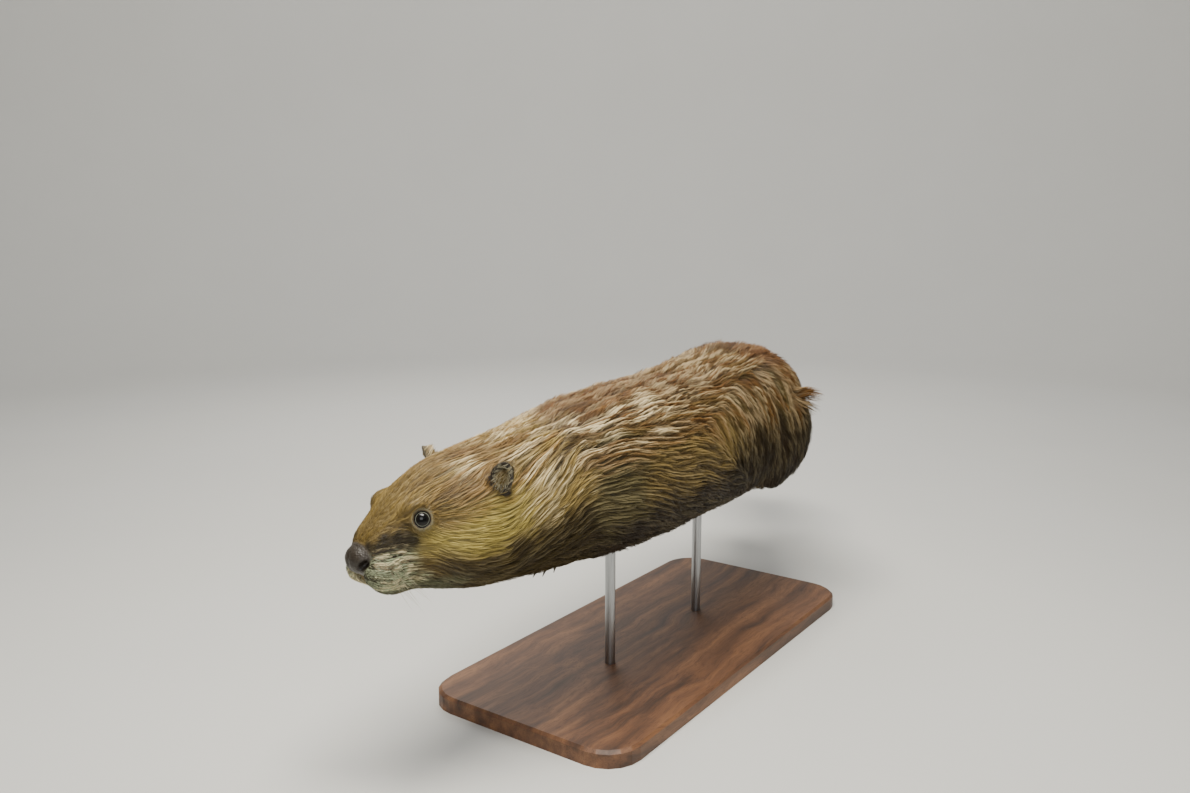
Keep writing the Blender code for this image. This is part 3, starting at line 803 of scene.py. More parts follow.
def buildSkin():
    skin = mergedFlesh()
    co, triangles = meshArrays(skin.data)
    tell(f"flesh merged: {len(triangles)} triangles")
    near = placesNear(co)
    s = bodyCoords(co)[0]
    softness = np.interp(s, [0.0, 0.05, 0.09, 0.14], [0.10, 0.16, 0.40, 1.0])
    for word, kept in (("ear", 0.12), ("foot", 0.08), ("tail", 0.35), ("nose", 0.06)):
        softness = toward(softness, kept, near[word] * 2)
    weigh(skin, "softness", softness)
    useModifier(skin, "SMOOTH", factor=0.5, iterations=skinPlan["smoothing"], vertex_group="softness")
    co, triangles = meshArrays(skin.data)
    normals = vertexNormals(co, triangles)
    co = co - normals * layDepth(co, near)[:, None]
    co = shapeEars(shapeLids(co), normals)
    co = shapeMouth(shapeNose(co), normals)
    skin.data.vertices.foreach_set("co", co.astype(np.float32).ravel())
    skin.data.update()
    skin.vertex_groups.clear()
    # the face and what is fine keep more of their triangles
    face = np.interp(s, [0.06, 0.13], [1.0, 0.0])
    weigh(skin, "plain", 1 - near["ear"] - near["foot"] - near["nose"] - face)
    share = skinPlan["triangles"] / len(triangles)
    useModifier(skin, "DECIMATE", ratio=share, vertex_group="plain", vertex_group_factor=0.6)
    skin.vertex_groups.clear()
    skin.data.shade_smooth()
    tell(f"skin thinned to {len(skin.data.polygons)}")
    choose(skin)
    editAll(bpy.ops.uv.smart_project, angle_limit=math.radians(66), island_margin=0.002)
    skin.data.uv_layers[0].name = "OFBake"
    tell("skin unwrapped")
    return skin


# the lie of the coat: which way its hair points, how long it is and how far it stands out, by place

lieZones = {
    # how strongly the coat is combed down there
    "cheek": 0.34,
    "neck": -0.66,
    "back": 0.17,
    "flank": 0.10,
    "hip": 1.9,
}
lengthPlan = {
    "places": (0.0, 0.02, 0.04, 0.06, 0.09, 0.13, 0.20, 0.30, 0.50, 0.70, 0.78, 0.83, 0.86),
    "millimetres": (3.0, 4.5, 7.5, 10.0, 15.0, 23.0, 34.0, 42.0, 46.0, 44.0, 34.0, 15.0, 3.0),
    "belly": 0.30,  # this share shorter
    "ends": {"leg": 0.014, "ear": 0.0032, "foot": 0.0026, "nose": 0.0016},
    "tail": ((0.80, 0.84), (0.016, 0.004)),
    "earBack": (0.0020, 0.0090),  # longer by this on the ear, and by this more on its back
}
standPlan = {"ridge": 0.0034, "rump": 0.0050, "behindEar": 0.0050, "ear": 0.0008, "earBack": 0.0072}
groovePlan = {"ends": ((0.170, 0.066, 0.018), (0.222, 0.050, 0.060)), "width": 0.0065}
tuftPlan = {
    # a tuft that stands out behind the left thigh
    "place": (0.650, 0.090, 0.040),
    "radius": 0.024,
    "length": 0.040,
    "flare": 0.035,
    "way": (-0.50, 0.70, 0.45),  # ahead, left, up
}


def hipEdge(lift):
    # where the coat turns down over the thigh, by height round the body
    return np.interp(lift, [-0.5, 0.0, 0.38, 0.50, 0.60, 0.75, 0.83], [0.50, 0.43, 0.40, 0.43, 0.465, 0.52, 0.60])


def nearGroove(co):
    # the furrow between neck and shoulder, into which the coat of the neck is combed
    return bell(farFromLines(co, groovePlan["ends"]), groovePlan["width"])


def tuftShare(co):
    return fall(norms(co - bodyPoint(*tuftPlan["place"])), 0, tuftPlan["radius"])


def tuftFlare(co):
    # how far the tips of the tuft are pushed out of the coat
    way = sum(part * axis for part, axis in zip(tuftPlan["way"], axesAt(tuftPlan["place"][0])))
    return tuftShare(co)[:, None] * tuftPlan["flare"] * unit(way)


def hairStand(co, near):
    # how much further than the coat's depth the tips stand out
    s, _, _, lift, _ = roundCoords(co)
    stand = {
        "ridge": within(s, 0.24, 0.66, 0.05) * rise(lift, 0.70, 0.20) * rise(waves(co, 0.028, 21), 0.1, 0.8),
        "rump": within(s, 0.57, 0.72, 0.05) * rise(lift, 0.55, 0.30),
        "behindEar": nearSpots(co, [((0.150, 0.052, 0.044), 0.015)]),
        "ear": near["ear"],
        "earBack": near["ear"] * earBack(co),
    }
    return sum(standPlan[word] * share for word, share in stand.items())


def limbWays(co, near, ways):
    # down the legs to the feet, and over the feet to the claws
    for end, side in limbs:
        foot = centreOf(f"{end}_foot_{side}")
        claws = np.mean([centreOf(f"claw_{end}_{side}_{k}") for k in range(1, 6)], 0)
        leg = near[f"{end}_leg_{side}"] * fall(norms(co - foot), 0.055, 0.03)
        ways = ways + (unit(foot - co) * 1.2 - ways) * (leg * 0.8)[:, None]
        ways = ways + (unit(claws - foot) - ways) * near[f"{end}_foot_{side}"][:, None]
    return ways


def hairWays(co, normals, near):
    s, across, above, lift, wide = roundCoords(co)
    tuft = tuftShare(co)
    zones = {
        "cheek": within(s, 0.040, 0.115, 0.050) * within(lift, -0.95, 0.40, 0.50) * wide,
        "neck": within(s, 0.132, 0.222, 0.035) * within(above, -0.060, 0.050, 0.030) * wide,
        "back": rise(s, 0.22, 0.06) * wide,
        "flank": rise(s, 0.25, 0.06) * within(lift, -0.9, 0.2, 0.5),
        "hip": rise(s, hipEdge(lift), 0.035) * within(lift, -0.70, 0.87, 0.16) * fall(s, 0.72, 0.06) * (1 - tuft),
    }
    down = sum(lieZones[word] * share for word, share in zones.items())
    ways = bodyWay(s, 1 - 0.60 * zones["hip"], np.zeros_like(s), -down)
    # outwards round the muzzle, away from the eyes and up the ears
    ring = unit(np.stack([across, above + 0.004], 1))
    ways += fall(s, 0, 0.032)[:, None] * 1.3 * bodyWay(s, 0 * s, ring[:, 0], ring[:, 1])
    for away, far in fromEyes(co):
        ways += unit(away) * (1.5 * bell(far, 0.013))[:, None]
    for middle, *_ in earFrames.values():
        base = middle - axesAt(earPlan["at"])[2] * 0.016
        ways += unit(co - base) * (0.9 * bell(norms(co - middle), 0.019))[:, None]
    ways = limbWays(co, near, ways)
    ways = ways - dot(ways, normals)[:, None] * normals
    ways = unit(ways + (0.7 * ease(1.6 * tuft))[:, None] * axesAt(tuftPlan["place"][0])[2])
    swirl = 0.13 * waves(co, 0.060, 3) + 0.07 * waves(co, 0.022, 4)
    return unit(ways + np.cross(normals, ways) * swirl[:, None])


def hairLengths(co, near):
    s, _, _, lift, _ = roundCoords(co)
    length = np.interp(s, lengthPlan["places"], lengthPlan["millimetres"]) / 1000
    length *= 1 - lengthPlan["belly"] * rise(-lift, 0.5, 0.4)
    for _, far in fromEyes(co):
        length = np.minimum(length, np.interp(far, *eyePlan["hair"]))
    for word, kept in {**lengthPlan["ends"], "tail": np.interp(s, *lengthPlan["tail"])}.items():
        length = toward(length, kept, near[word] * 1.5)
    length = length + (tuftPlan["length"] - length) * tuftShare(co)
    ear, back = lengthPlan["earBack"]
    return length + (ear + back * earBack(co)) * near["ear"]


# markings, the same for skin and coat

regionPlan = {
    # which measures of a place have to lie between which limits, and how soft these are
    "crown": (("s", None, 0.17, 0.05), ("lift", 0.30, None, 0.40)),
    "cheek": (("s", 0.045, 0.150, 0.040), ("lift", -0.36, 0.40, 0.40)),
    "pad": (("s", None, 0.030, 0.018), ("above", -0.040, 0.002, 0.008), ("width", 0.003, None, 0.006)),
    "chin": (("s", None, 0.065, 0.03), ("above", None, -0.040, 0.010)),
    "throat": (("s", 0.050, 0.230, 0.050), ("lift", None, -0.65, 0.45)),
    "neck": (("s", 0.140, 0.208, 0.034), ("lift", -0.45, None, 0.40)),
    "shoulder": (("s", 0.216, 0.290, 0.040), ("lift", -0.50, 0.60, 0.30)),
    "back": (("s", 0.200, 0.640, 0.060), ("lift", 0.20, None, 0.50)),
    "belly": (("s", 0.12, None, 0.10), ("belowFlank", 0, None, 0.50)),
    "rump": (("pastHip", 0, None, 0.05), ("s", 0.42, None, 0.10)),
    "rumpTop": (("s", 0.555, None, 0.06), ("lift", 0.66, None, 0.18)),
    "ridge": (("s", 0.19, 0.46, 0.06), ("lift", 0.84, None, 0.12)),
    "ridgeSide": (("s", 0.39, 0.55, 0.05), ("lift", 0.70, 0.90, 0.15)),
    # sheen and sheenRear: where the painted wet highlights gather on the back
    "sheen": (("s", 0.20, 0.36, 0.05), ("lift", 0.5, 0.82, 0.2)),
    "sheenRear": (("s", 0.36, 0.60, 0.05), ("lift", 0.5, None, 0.2)),
    "ginger": (("lift", 0.05, None, 0.40), ("s", 0.03, None, 0.08)),
}
spotPlan = {
    # behind the nose, to either side and above the spine, and the radius
    # the pale spots are painted highlight patches
    "pale": [  # on the crown, behind the ear, on the neck and on the shoulder's top
        ((0.104, 0.031, 0.053), 0.026),
        ((0.136, 0.066, 0.032), 0.013),
        ((0.160, 0.048, 0.050), 0.024),
        ((0.223, 0.034, 0.065), 0.034),
        ((0.252, 0.056, 0.060), 0.033),
        ((0.172, 0.066, 0.022), 0.018),
        ((0.330, 0.050, 0.072), 0.045),
    ],
    "lowPad": [((0.045, 0.031, -0.032), 0.010)],
    "padGap": [((0.0365, 0.029, -0.027), 0.007)],
    "temple": [((0.085, 0.043, 0.030), 0.011)],
}
stripePlan = {
    "ends": ((0.013, 0.020, 0.005), (0.038, 0.032, 0.008)),
    "half": 0.0036,
    "soft": 0.0110,
    "strength": 0.94,
}


def stripeShare(co):
    # the dark mark between nose and eye, with a ragged edge
    ragged = 0.0032 * waves(co, 0.012, 31) + 0.0016 * waves(co, 0.004, 32)
    far = farFromLines(co, stripePlan["ends"]) + ragged
    return stripePlan["strength"] * fall(far, stripePlan["half"], stripePlan["soft"])


def lidMarks(co):
    # the pale rim of the lids and their dark edge
    rims, edges = [], []
    for middle, way in eyeFrames.values():
        away, _, out = besideEye(co, middle, way)
        close = norms(away) < 0.016
        rims.append(close * within(out, *eyePlan["rimTint"]))
        edges.append(close * fall(out, *eyePlan["edgeTint"]))
    return most(*rims), most(*edges)


def regionMarks(co, near):
    # where on the body each colour of the coat lies, 0 to 1
    s, across, above, lift, _ = roundCoords(co)
    s = s + 0.006 * waves(co, 0.05, 11)
    lift = lift + 0.10 * waves(co, 0.035, 12)
    measures = {"s": s, "lift": lift, "above": above, "width": np.abs(across)}
    # the belly's dark, as painted shade, reaches up over the lower rump
    measures["belowFlank"] = np.interp(s, [0.43, 0.50], [-0.02, 0.42]) - lift
    measures["pastHip"] = s - hipEdge(lift)
    marks = {
        name: math.prod(band(measures[word], *limits) for word, *limits in bands)
        for name, bands in regionPlan.items()
    }
    spots = {name: nearSpots(co, places) for name, places in spotPlan.items()}
    furred = earBack(co)
    marks["pad"] = most(marks["pad"], spots["lowPad"])
    marks["rumpTop"] = most(marks["rumpTop"], 0.8 * tuftShare(co))
    marks["ridge"] = most(0.7 * marks["ridge"], 0.5 * marks["ridgeSide"])
    marks["sheen"] = most(marks["sheen"], 0.28 * marks["sheenRear"])
    marks["stripe"] = most(stripeShare(co), 0.6 * spots["padGap"], 0.45 * spots["temple"])
    # the pale mark: painted highlight patches, and the furred backs of the ears, whose tops get painted highlight
    marks["pale"] = most(spots["pale"], 0.8 * furred * near["ear"])
    bareEar, bareTail = near["ear"] * 1.6 * (1 - 0.75 * furred), near["tail"] * rise(s, 0.805, 0.03)
    marks["leather"] = ease(most(bareEar, near["foot"], bareTail))
    marks["nosePad"] = ease(near["nose"] * 1.8)
    marks["groove"] = nearGroove(co)
    marks["lidRim"], edge = lidMarks(co)
    # the lids' own dark edge, and painted shade in and round the nostril hollows
    marks["lidEdge"] = most(edge, nostrilShare(co, 1.4))
    marks["grizzle"] = near["ear"] * most(*[fall(out, 0.66, 0.22) * (up > -0.0012) for out, up, _ in inEars(co)])
    return marks


# each colour attribute of a mesh carries three of the marks
markNames = "crown cheek pad chin throat neck shoulder back belly rump rumpTop stripe leather nosePad pale "
markNames += "lidRim lidEdge grizzle groove sheen ginger ridge"
markGroups = {f"mark{word}": markNames.split()[k * 3 : k * 3 + 3] for k, word in enumerate("ABCDEFGH")}

# growing the coat

hairPlan = {
    "layers": 7.5,  # how many hairs lie over each other anywhere
    "lockSteps": 15,
    "lockStep": 0.6,  # of the gap between locks
    "bigLock": 2.5,  # as many times wider than a small one
    "bigPull": 0.38,
    "smallPull": 0.74,
    "loose": 0.26,  # share of hairs that lie low and lock little
    "perPiece": 19000,
    "mostHairs": 146000,
    "widths": ((0.0020, 0.008, 0.020, 0.045), (0.00034, 0.00055, 0.00080, 0.00115)),  # by length
    "gap": (0.0013, 0.112),  # between locks, and as much more for each metre of length
    "stops": np.array([0.0, 0.33, 0.68, 1.0]),  # along a hair
    "rise": (-0.04, 0.62, 0.96, 0.84),  # of the coat's depth at each stop
    "shape": (0.75, 1.0, 0.80),  # of the hair's width
    "patch": 0.003,  # of the bake for each hair
}
stops = hairPlan["stops"]


def plantTree(spots):
    tree = kdtree.KDTree(len(spots))
    for i, p in enumerate(spots.tolist()):
        tree.insert(p, i)
    tree.balance()
    return tree


def settle(tree, points):
    return np.fromiter((tree.find(p)[1] for p in points.tolist()), np.int32, len(points))


def ontoSkin(ground, points, at):
    # brings points level with the skin at its nearest points
    normals = ground.normals[at]
    return points - dot(points - ground.co[at], normals)[:, None] * normals


def hairWidth(length):
    return np.interp(length, *hairPlan["widths"])


def lockGap(length):
    least, more = hairPlan["gap"]
    return least + more * length


def pick(wish, count, chance):
    return np.searchsorted(np.cumsum(wish) / wish.sum(), chance.random(count)).clip(0, len(wish) - 1)


def traceLocks(ground, wider, chance):
    # middle lines of locks, which run along the lie of the coat
    triangles, steps, step = ground.triangles, hairPlan["lockSteps"], hairPlan["lockStep"]
    gap = lockGap(ground.length) * wider
    wish = ground.area * (ground.cover[triangles].mean(1) > 0.02) / (gap[triangles].mean(1) ** 2 * steps * step)
    at = triangles[pick(wish, int(wish.sum()), chance), 0]
    lines = [ground.co[at]]
    for _ in range(steps - 1):
        spots = lines[-1] + ground.ways[at] * (step * gap[at])[:, None]
        at = settle(ground.tree, spots)
        lines.append(ontoSkin(ground, spots, at))
    return np.stack(lines, 1)


def drawTo(paths, long, lines, gap, strength):
    # hairs move sideways to the middle line of the lock in which they lie
    steps = lines.shape[1]
    nearest = settle(plantTree(lines.reshape(-1, 3)), paths[:, 2])
    lock, at = nearest // steps, nearest % steps
    moved = paths.copy()
    for k in (1, 2, 3):
        shifted = at + np.round((stops[k] - stops[2]) * long / (hairPlan["lockStep"] * gap)).astype(int)
        inside = (shifted >= 0) & (shifted < steps)
        away = lines[lock, shifted.clip(0, steps - 1)] - paths[:, k]
        along = unit(paths[:, k] - paths[:, k - 1])
        away -= dot(away, along)[:, None] * along
        far = norms(away) / gap
        keep = inside * fall(far, 1.1, 0.7) * strength * stops[k] ** 0.7
        moved[:, k] += away * keep[:, None]
        if k == 2:
            centre = 1 - np.clip(far / 0.62, 0, 1)
    return moved, lock, centre


def plantRoots(ground, chance):
    # spread so that as many hairs lie over each other everywhere, and put in order from the nose
    triangles = ground.triangles
    local = ground.length[triangles].mean(1)
    wish = ground.area * ground.cover[triangles].mean(1) * hairPlan["layers"] / (local * hairWidth(local))
    count = min(int(wish.sum()), hairPlan["mostHairs"])
    tell(f"hairs wished for: {int(wish.sum())}, grown: {count}")
    chosen = pick(wish, count, chance)
    u, v = chance.random(count), chance.random(count)
    flip = u + v > 1
    u[flip], v[flip] = 1 - u[flip], 1 - v[flip]
    share = np.stack([1 - u - v, u, v], 1)
    root = np.einsum("nk,nkx->nx", share, ground.co[triangles[chosen]])
    uv = np.einsum("nk,nkx->nx", share, ground.uv[chosen])
    first = triangles[chosen, share.argmax(1)]
    order = np.argsort(ground.s[first])
    return root[order], uv[order], first[order]


def bladePoints(ground, first, paths, level, wide, roll):
    # three points across each stop of a hair, the middle one raised, and one at its tip
    placed, normals = [], []
    for k in range(4):
        at = settle(ground.tree, paths[:, k]) if k else first
        high = ground.depth[at] * level * hairPlan["rise"][k] + ground.stand[first] * stops[k] ** 2
        normals.append(ground.normals[at])
        out = normals[-1] * high[:, None] + ground.flare[first] * stops[k] ** 1.6
        placed.append(ontoSkin(ground, paths[:, k], at) + out)
    points = []
    for k, shape in enumerate(hairPlan["shape"]):
        along = unit(placed[k + 1] - placed[max(k - 1, 0)])
        cross = unit(np.cross(along, normals[k]))
        up = np.cross(cross, along)
        half = (wide * shape / 2)[:, None]
        turned = (cross * np.cos(roll)[:, None] + up * np.sin(roll)[:, None]) * half
        points += [placed[k] - turned, placed[k] + up * half * 0.62, placed[k] + turned]
    return np.stack(points + placed[3:], 1)


def growCoat(ground):
    chance = np.random.default_rng(20)
    root, uv, first = plantRoots(ground, chance)
    count = len(first)
    long = ground.length[first] * chance.uniform(0.72, 1.12, count)
    # each hair follows the lie of the coat over the skin
    rows, at = [root], first
    for step in np.diff(stops):
        ahead = rows[-1] + ground.ways[at] * (long * step)[:, None]
        at = settle(ground.tree, ahead)
        rows.append(ontoSkin(ground, ahead, at))
    paths = np.stack(rows, 1)
    tell("hairs laid")
    # big locks draw small locks and hairs together, and small locks draw hairs
    gap, clump = lockGap(ground.length[first]), ground.clump[first]
    hold = clump * np.where(chance.random(count) < hairPlan["loose"], 0.25, 1.0)
    wider = hairPlan["bigLock"]
    bigLines, smallLines = traceLocks(ground, wider, chance), traceLocks(ground, 1.0, chance)
    paths, bigLock, bigCentre = drawTo(paths, long, bigLines, gap * wider, hairPlan["bigPull"] * hold)
    paths, smallLock, centre = drawTo(paths, long, smallLines, gap, hairPlan["smallPull"] * hold)
    tell(f"{len(bigLines)} big locks, {len(smallLines)} small locks")
    bigValue, smallValue = chance.random(len(bigLines))[bigLock], chance.random(len(smallLines))[smallLock]
    hairValue = chance.random(count)
    level = (0.42 + 0.36 * centre + 0.22 * bigCentre) * chance.uniform(0.72, 1.0, count)
    loose = hold < 0.5 * clump
    level = np.where(loose, 0.42 * chance.uniform(0.6, 1.0, count), level)
    centre = np.where(loose, 0.0, centre)
    wide = hairWidth(ground.length[first]) * chance.uniform(0.75, 1.25, count)
    points = bladePoints(ground, first, paths, level, wide, chance.uniform(-0.45, 0.45, count))
    values = {name: [ground.marks[word][first] for word in words] for name, words in markGroups.items()}
    values["lock"] = [smallValue, None, centre]
    values["hair"] = [hairValue, bigValue, bigCentre]
    parts = np.array_split(np.arange(count), math.ceil(count / hairPlan["perPiece"]))
    pieces = [hairPiece(f"coat_{k}", part, points, uv, values) for k, part in enumerate(parts, 1)]
    tell(f"coat in {len(pieces)} pieces, {count * 10} triangles")
    return pieces


# a hair has ten points, in three rows of three and a tip, and four quads and two triangles between them
hairQuads = np.array([[0, 1, 4, 3], [1, 2, 5, 4], [3, 4, 7, 6], [4, 5, 8, 7]])
hairTips = np.array([[6, 7, 9], [7, 8, 9]])
hairStarts = np.array([0, 4, 8, 12, 16, 19])
hairAlong = np.append(np.repeat(stops[:3], 3), 1.0)
hairPatch = np.array([[x, y] for y in (-0.5, -0.17, 0.18) for x in (-0.5, 0, 0.5)] + [[0, 0.5]]) * hairPlan["patch"]


def hairPiece(name, part, points, uv, values):
    n = len(part)
    mesh = bpy.data.meshes.new(name)
    offset = (np.arange(n) * 10)[:, None, None]
    loops = np.concatenate([(hairQuads + offset).reshape(n, -1), (hairTips + offset).reshape(n, -1)], 1)
    mesh.vertices.add(n * 10)
    mesh.loops.add(n * 22)
    mesh.polygons.add(n * 6)
    mesh.vertices.foreach_set("co", points[part].astype(np.float32).ravel())
    mesh.loops.foreach_set("vertex_index", loops.astype(np.int32).ravel())
    mesh.polygons.foreach_set("loop_start", (hairStarts + (np.arange(n) * 22)[:, None]).astype(np.int32).ravel())
    mesh.update(calc_edges=True)
    mesh.shade_smooth()
    layer = mesh.uv_layers.new(name="OFBake")
    spots = (uv[part][:, None] + hairPatch).reshape(-1, 2)
    layer.data.foreach_set("uv", spots[loops.ravel()].astype(np.float32).ravel())
    for word, columns in values.items():
        store(mesh, word, [np.tile(hairAlong, n) if c is None else np.repeat(c[part], 10) for c in columns])
    return linked(name, mesh)


# colours of skin and coat

coatTones = {
    # from the ground colour up, in the order in which they lie over each other
    "flank": (156, 132, 78),
    "back": (118, 92, 47),
    "ridge": (92, 60, 28),
    "rump": (94, 80, 44),
    # the belly's own dark brown, deepened by painted shade of the underside
    "belly": (44, 35, 17),
    "shoulder": (108, 98, 62),
    "rumpTop": (88, 57, 28),
    # the throat's own darker colour, deepened by painted shade of the underside
    "neck": (214, 184, 108),
    "throat": (76, 64, 28),
    "crown": (156, 130, 68),
    "cheek": (190, 170, 88),
    "chin": (108, 110, 80),
    "pad": (208, 218, 174),
    "stripe": (26, 26, 8),
    "leather": (54, 46, 38),
    "nosePad": (60, 54, 43),
    "lidRim": (160, 156, 122),
    # the lids' dark edge, and painted shade in and round the nostrils
    "lidEdge": (12, 11, 10),
}
hairTones = {
    # a dark brown for painted shade between the locks and in the furrow, also for the darker roots and the skin
    # under the coat
    "shadeBrown": (42, 28, 12),  # between the locks
    # near white for the light locks: partly pale hair, partly painted wet highlights
    "creamHairAndHighlight": (252, 232, 182),
    "grizzle": (204, 196, 164),
    "ginger": (148, 96, 46),
}
hue = {word: tone(*parts) for word, parts in {**coatTones, **hairTones}.items()}


def markedColour(paint):
    share = {}
    for name, words in markGroups.items():
        share.update(zip(words, paint.marks(name)))
    colour = hue["flank"]
    for word in list(coatTones)[1:]:
        colour = paint.mix(share[word], colour, hue[word])
    return colour, share


def coatMaterial():
    paint = Finish("wet_guard_hair", Roughness=0.5, Specular_IOR_Level=0.24)
    colour, share = markedColour(paint)
    lockValue, along, centre = paint.marks("lock")
    hairValue, bigValue, bigCentre = paint.marks("hair")
    pale, rump, furred = share["pale"], share["rump"], 1 - share["leather"]
    # some hairs are ginger
    ginger = share["ginger"] * (1 - share["stripe"]) * furred
    ginger = ginger * paint.spread(bigValue * 0.6 + hairValue * 0.4, 0.30, 0.60, 0.0, 0.5)
    colour = paint.mix(ginger, colour, hue["ginger"])
    # painted highlight on the pale spots and the backs of the ears
    colour = paint.mix(pale * 0.14, colour, hue["creamHairAndHighlight"])
    # roots are darker, the undercoat's own colour with painted shade over it; painted shade darkens the edges of
    # each lock and of the big locks, the edges of the locks on the pad and the furrow between neck and shoulder,
    # and leaves a lock's middle and tips lighter
    dark = (1 - centre) * 0.38 + (1 - along) * 0.34 + paint.spread(bigCentre, 0.0, 0.6, 0.16, 0.0)
    dark = (dark + share["groove"] * 0.45) * (1 - share["cheek"] * 0.45) * (1 - share["shoulder"] * 0.3)
    dark = dark * (1 - share["leather"] * 0.7) + share["pad"] * paint.spread(centre, 0.5, 0.1, 0.0, 0.35)
    colour = paint.mix(dark, colour, hue["shadeBrown"])
    grizzled = share["grizzle"] * paint.spread(hairValue, 0.35, 0.60)
    colour = paint.mix(grizzled, colour, hue["grizzle"])
    # light locks, partly pale hair and partly painted wet highlights, and how many of them there are by place
    highlightStreak = paint.spread(lockValue * 0.55 + bigValue * 0.45 + paint.noise(28.0) * 0.3, 0.58, 0.80)
    highlightStreak = highlightStreak.orMore(pale * paint.spread(lockValue, 0.25, 0.55))
    highlightZone = share["back"] * (1 - rump * 0.62) * (1 - share["ridge"] * 0.5) * (share["sheen"] * 0.66 + 0.14)
    highlightZone = highlightZone + share["neck"] * 0.52 + share["pad"] * 0.7 + rump * (1 - share["belly"]) * 0.14 + 0.07
    highlightZone = highlightZone * (1 - share["groove"] * 0.8) * (1 - share["rumpTop"] * 0.7) * furred * (1 - share["nosePad"])
    highlightZone = highlightZone.orMore(pale * 0.9)
    creamHairAndHighlight = highlightStreak * highlightZone * paint.spread(along, 0.0, 0.6, 0.35, 1.0) * paint.spread(centre, 0.0, 0.5, 0.4, 1.0)
    colour = paint.mix(creamHairAndHighlight, colour, hue["creamHairAndHighlight"])
    shade = paint.mix(hairValue, (0.55, 0.52, 0.50, 1), (1, 1, 1, 1))
    paint.feed("Base Color", paint.mix(0.30, colour, shade, "MULTIPLY"))
    paint.feed("Roughness", 0.42 + hairValue * 0.18)
    return paint.material


def skinMaterial():
    paint = Finish("skin", Roughness=0.6)
    colour, share = markedColour(paint)
    # furred skin is darker: the underfur's colour and painted shade under the coat
    colour = paint.mix(share["leather"], paint.mix(0.55, colour, hue["shadeBrown"]), colour)
    fine = paint.noise(900.0, 3.0, 0.6)
    nose, leather = share["nosePad"], share["leather"] * (1 - share["nosePad"])
    relief = fine * 0.25 - (nose * paint.cells(620.0) + leather * paint.cells(300.0)) * 0.9
    # random mottling, and painted shade in the grooves of the leather's bump pattern
    mottleAndGrooveShade = paint.noise(60.0) * 0.35 + relief * -0.25
    paint.feed("Base Color", paint.mix(mottleAndGrooveShade, colour, hue["shadeBrown"], "MULTIPLY"))
    paint.feed("Roughness", 0.50 + fine * 0.22 - nose * 0.16)
    paint.bump(relief, 0.0006, 0.7)
    return paint.material


coverPlan = {
    # how densely the coat grows
    "places": (0.02, 0.07, 0.13),  # behind the nose
    "shares": (0.45, 0.75, 1.0),
    "bareTail": (0.818, 0.024),
    "foot": 0.97,  # this share less
    "ear": 0.25,
    "tuft": 1.8,  # this share more
}


def coverShare(co, s, near):
    eyeFar = np.min([far for _, far in fromEyes(co)], 0)
    tail = near["tail"] * 2 * rise(s, *coverPlan["bareTail"])
    bare = most(near["nose"] * 3, tail, fall(eyeFar, *eyePlan["bare"])).clip(0, 1)
    thin = np.interp(s, coverPlan["places"], coverPlan["shares"])
    thin = thin * (1 - coverPlan["foot"] * ease(near["foot"] * 2)) * (1 - coverPlan["ear"] * ease(near["ear"] * 2))
    return (1 - bare) * thin * (1 + coverPlan["tuft"] * tuftShare(co))


def surveyGround():
    # all that the coat has to know of the skin under it
    co, triangles = meshArrays(skin.data)
    normals, near, s = vertexNormals(co, triangles), placesNear(co), bodyCoords(co)[0]
    loops = np.empty(len(skin.data.loop_triangles) * 3, np.int32)
    skin.data.loop_triangles.foreach_get("loops", loops)
    uv = np.empty(len(skin.data.loops) * 2, np.float32)
    skin.data.uv_layers["OFBake"].data.foreach_get("uv", uv)
    a, b, c = (co[triangles[:, k]] for k in range(3))
    return SimpleNamespace(
        co=co,
        triangles=triangles,
        normals=normals,
        uv=uv.reshape(-1, 2)[loops].reshape(-1, 3, 2),
        area=norms(np.cross(b - a, c - a)) / 2,
        tree=plantTree(co),
        s=s,
        ways=hairWays(co, normals, near),
        length=hairLengths(co, near),
        depth=layDepth(co, near),
        stand=hairStand(co, near),
        flare=tuftFlare(co),
        marks=regionMarks(co, near),
        cover=coverShare(co, s, near),
        clump=np.interp(s, [0.02, 0.12, 0.20], [0.35, 0.7, 1.0]),
    )


skin = buildSkin()
ground = surveyGround()
for name, words in markGroups.items():
    store(skin.data, name, [ground.marks[word] for word in words])
skin.data.materials.append(skinMaterial())
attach(skin, "root")
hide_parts(*fleshNames)
tell("ground surveyed")

coatPaint = coatMaterial()
for piece in growCoat(ground):
    piece.data.materials.append(coatPaint)
    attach(piece, "root")

# eyeballs

ballPlan = {
    "segments": 64,
    "rings": 48,
    "clear": 0.70,  # past this share of the radius the clear bulge before the iris begins
    "bulge": 0.0004,
    # from the front to the back: pupil, iris, its pale ring, and what the lids cover
    "tones": (
        *((0.0, (9, 9, 9)), (0.125, (12, 11, 10)), (0.16, (22, 17, 13)), (0.205, (18, 15, 12))),
        *((0.220, (112, 114, 102)), (0.234, (96, 98, 88)), (0.246, (24, 21, 18)), (1.0, (20, 16, 14))),
    ),
}


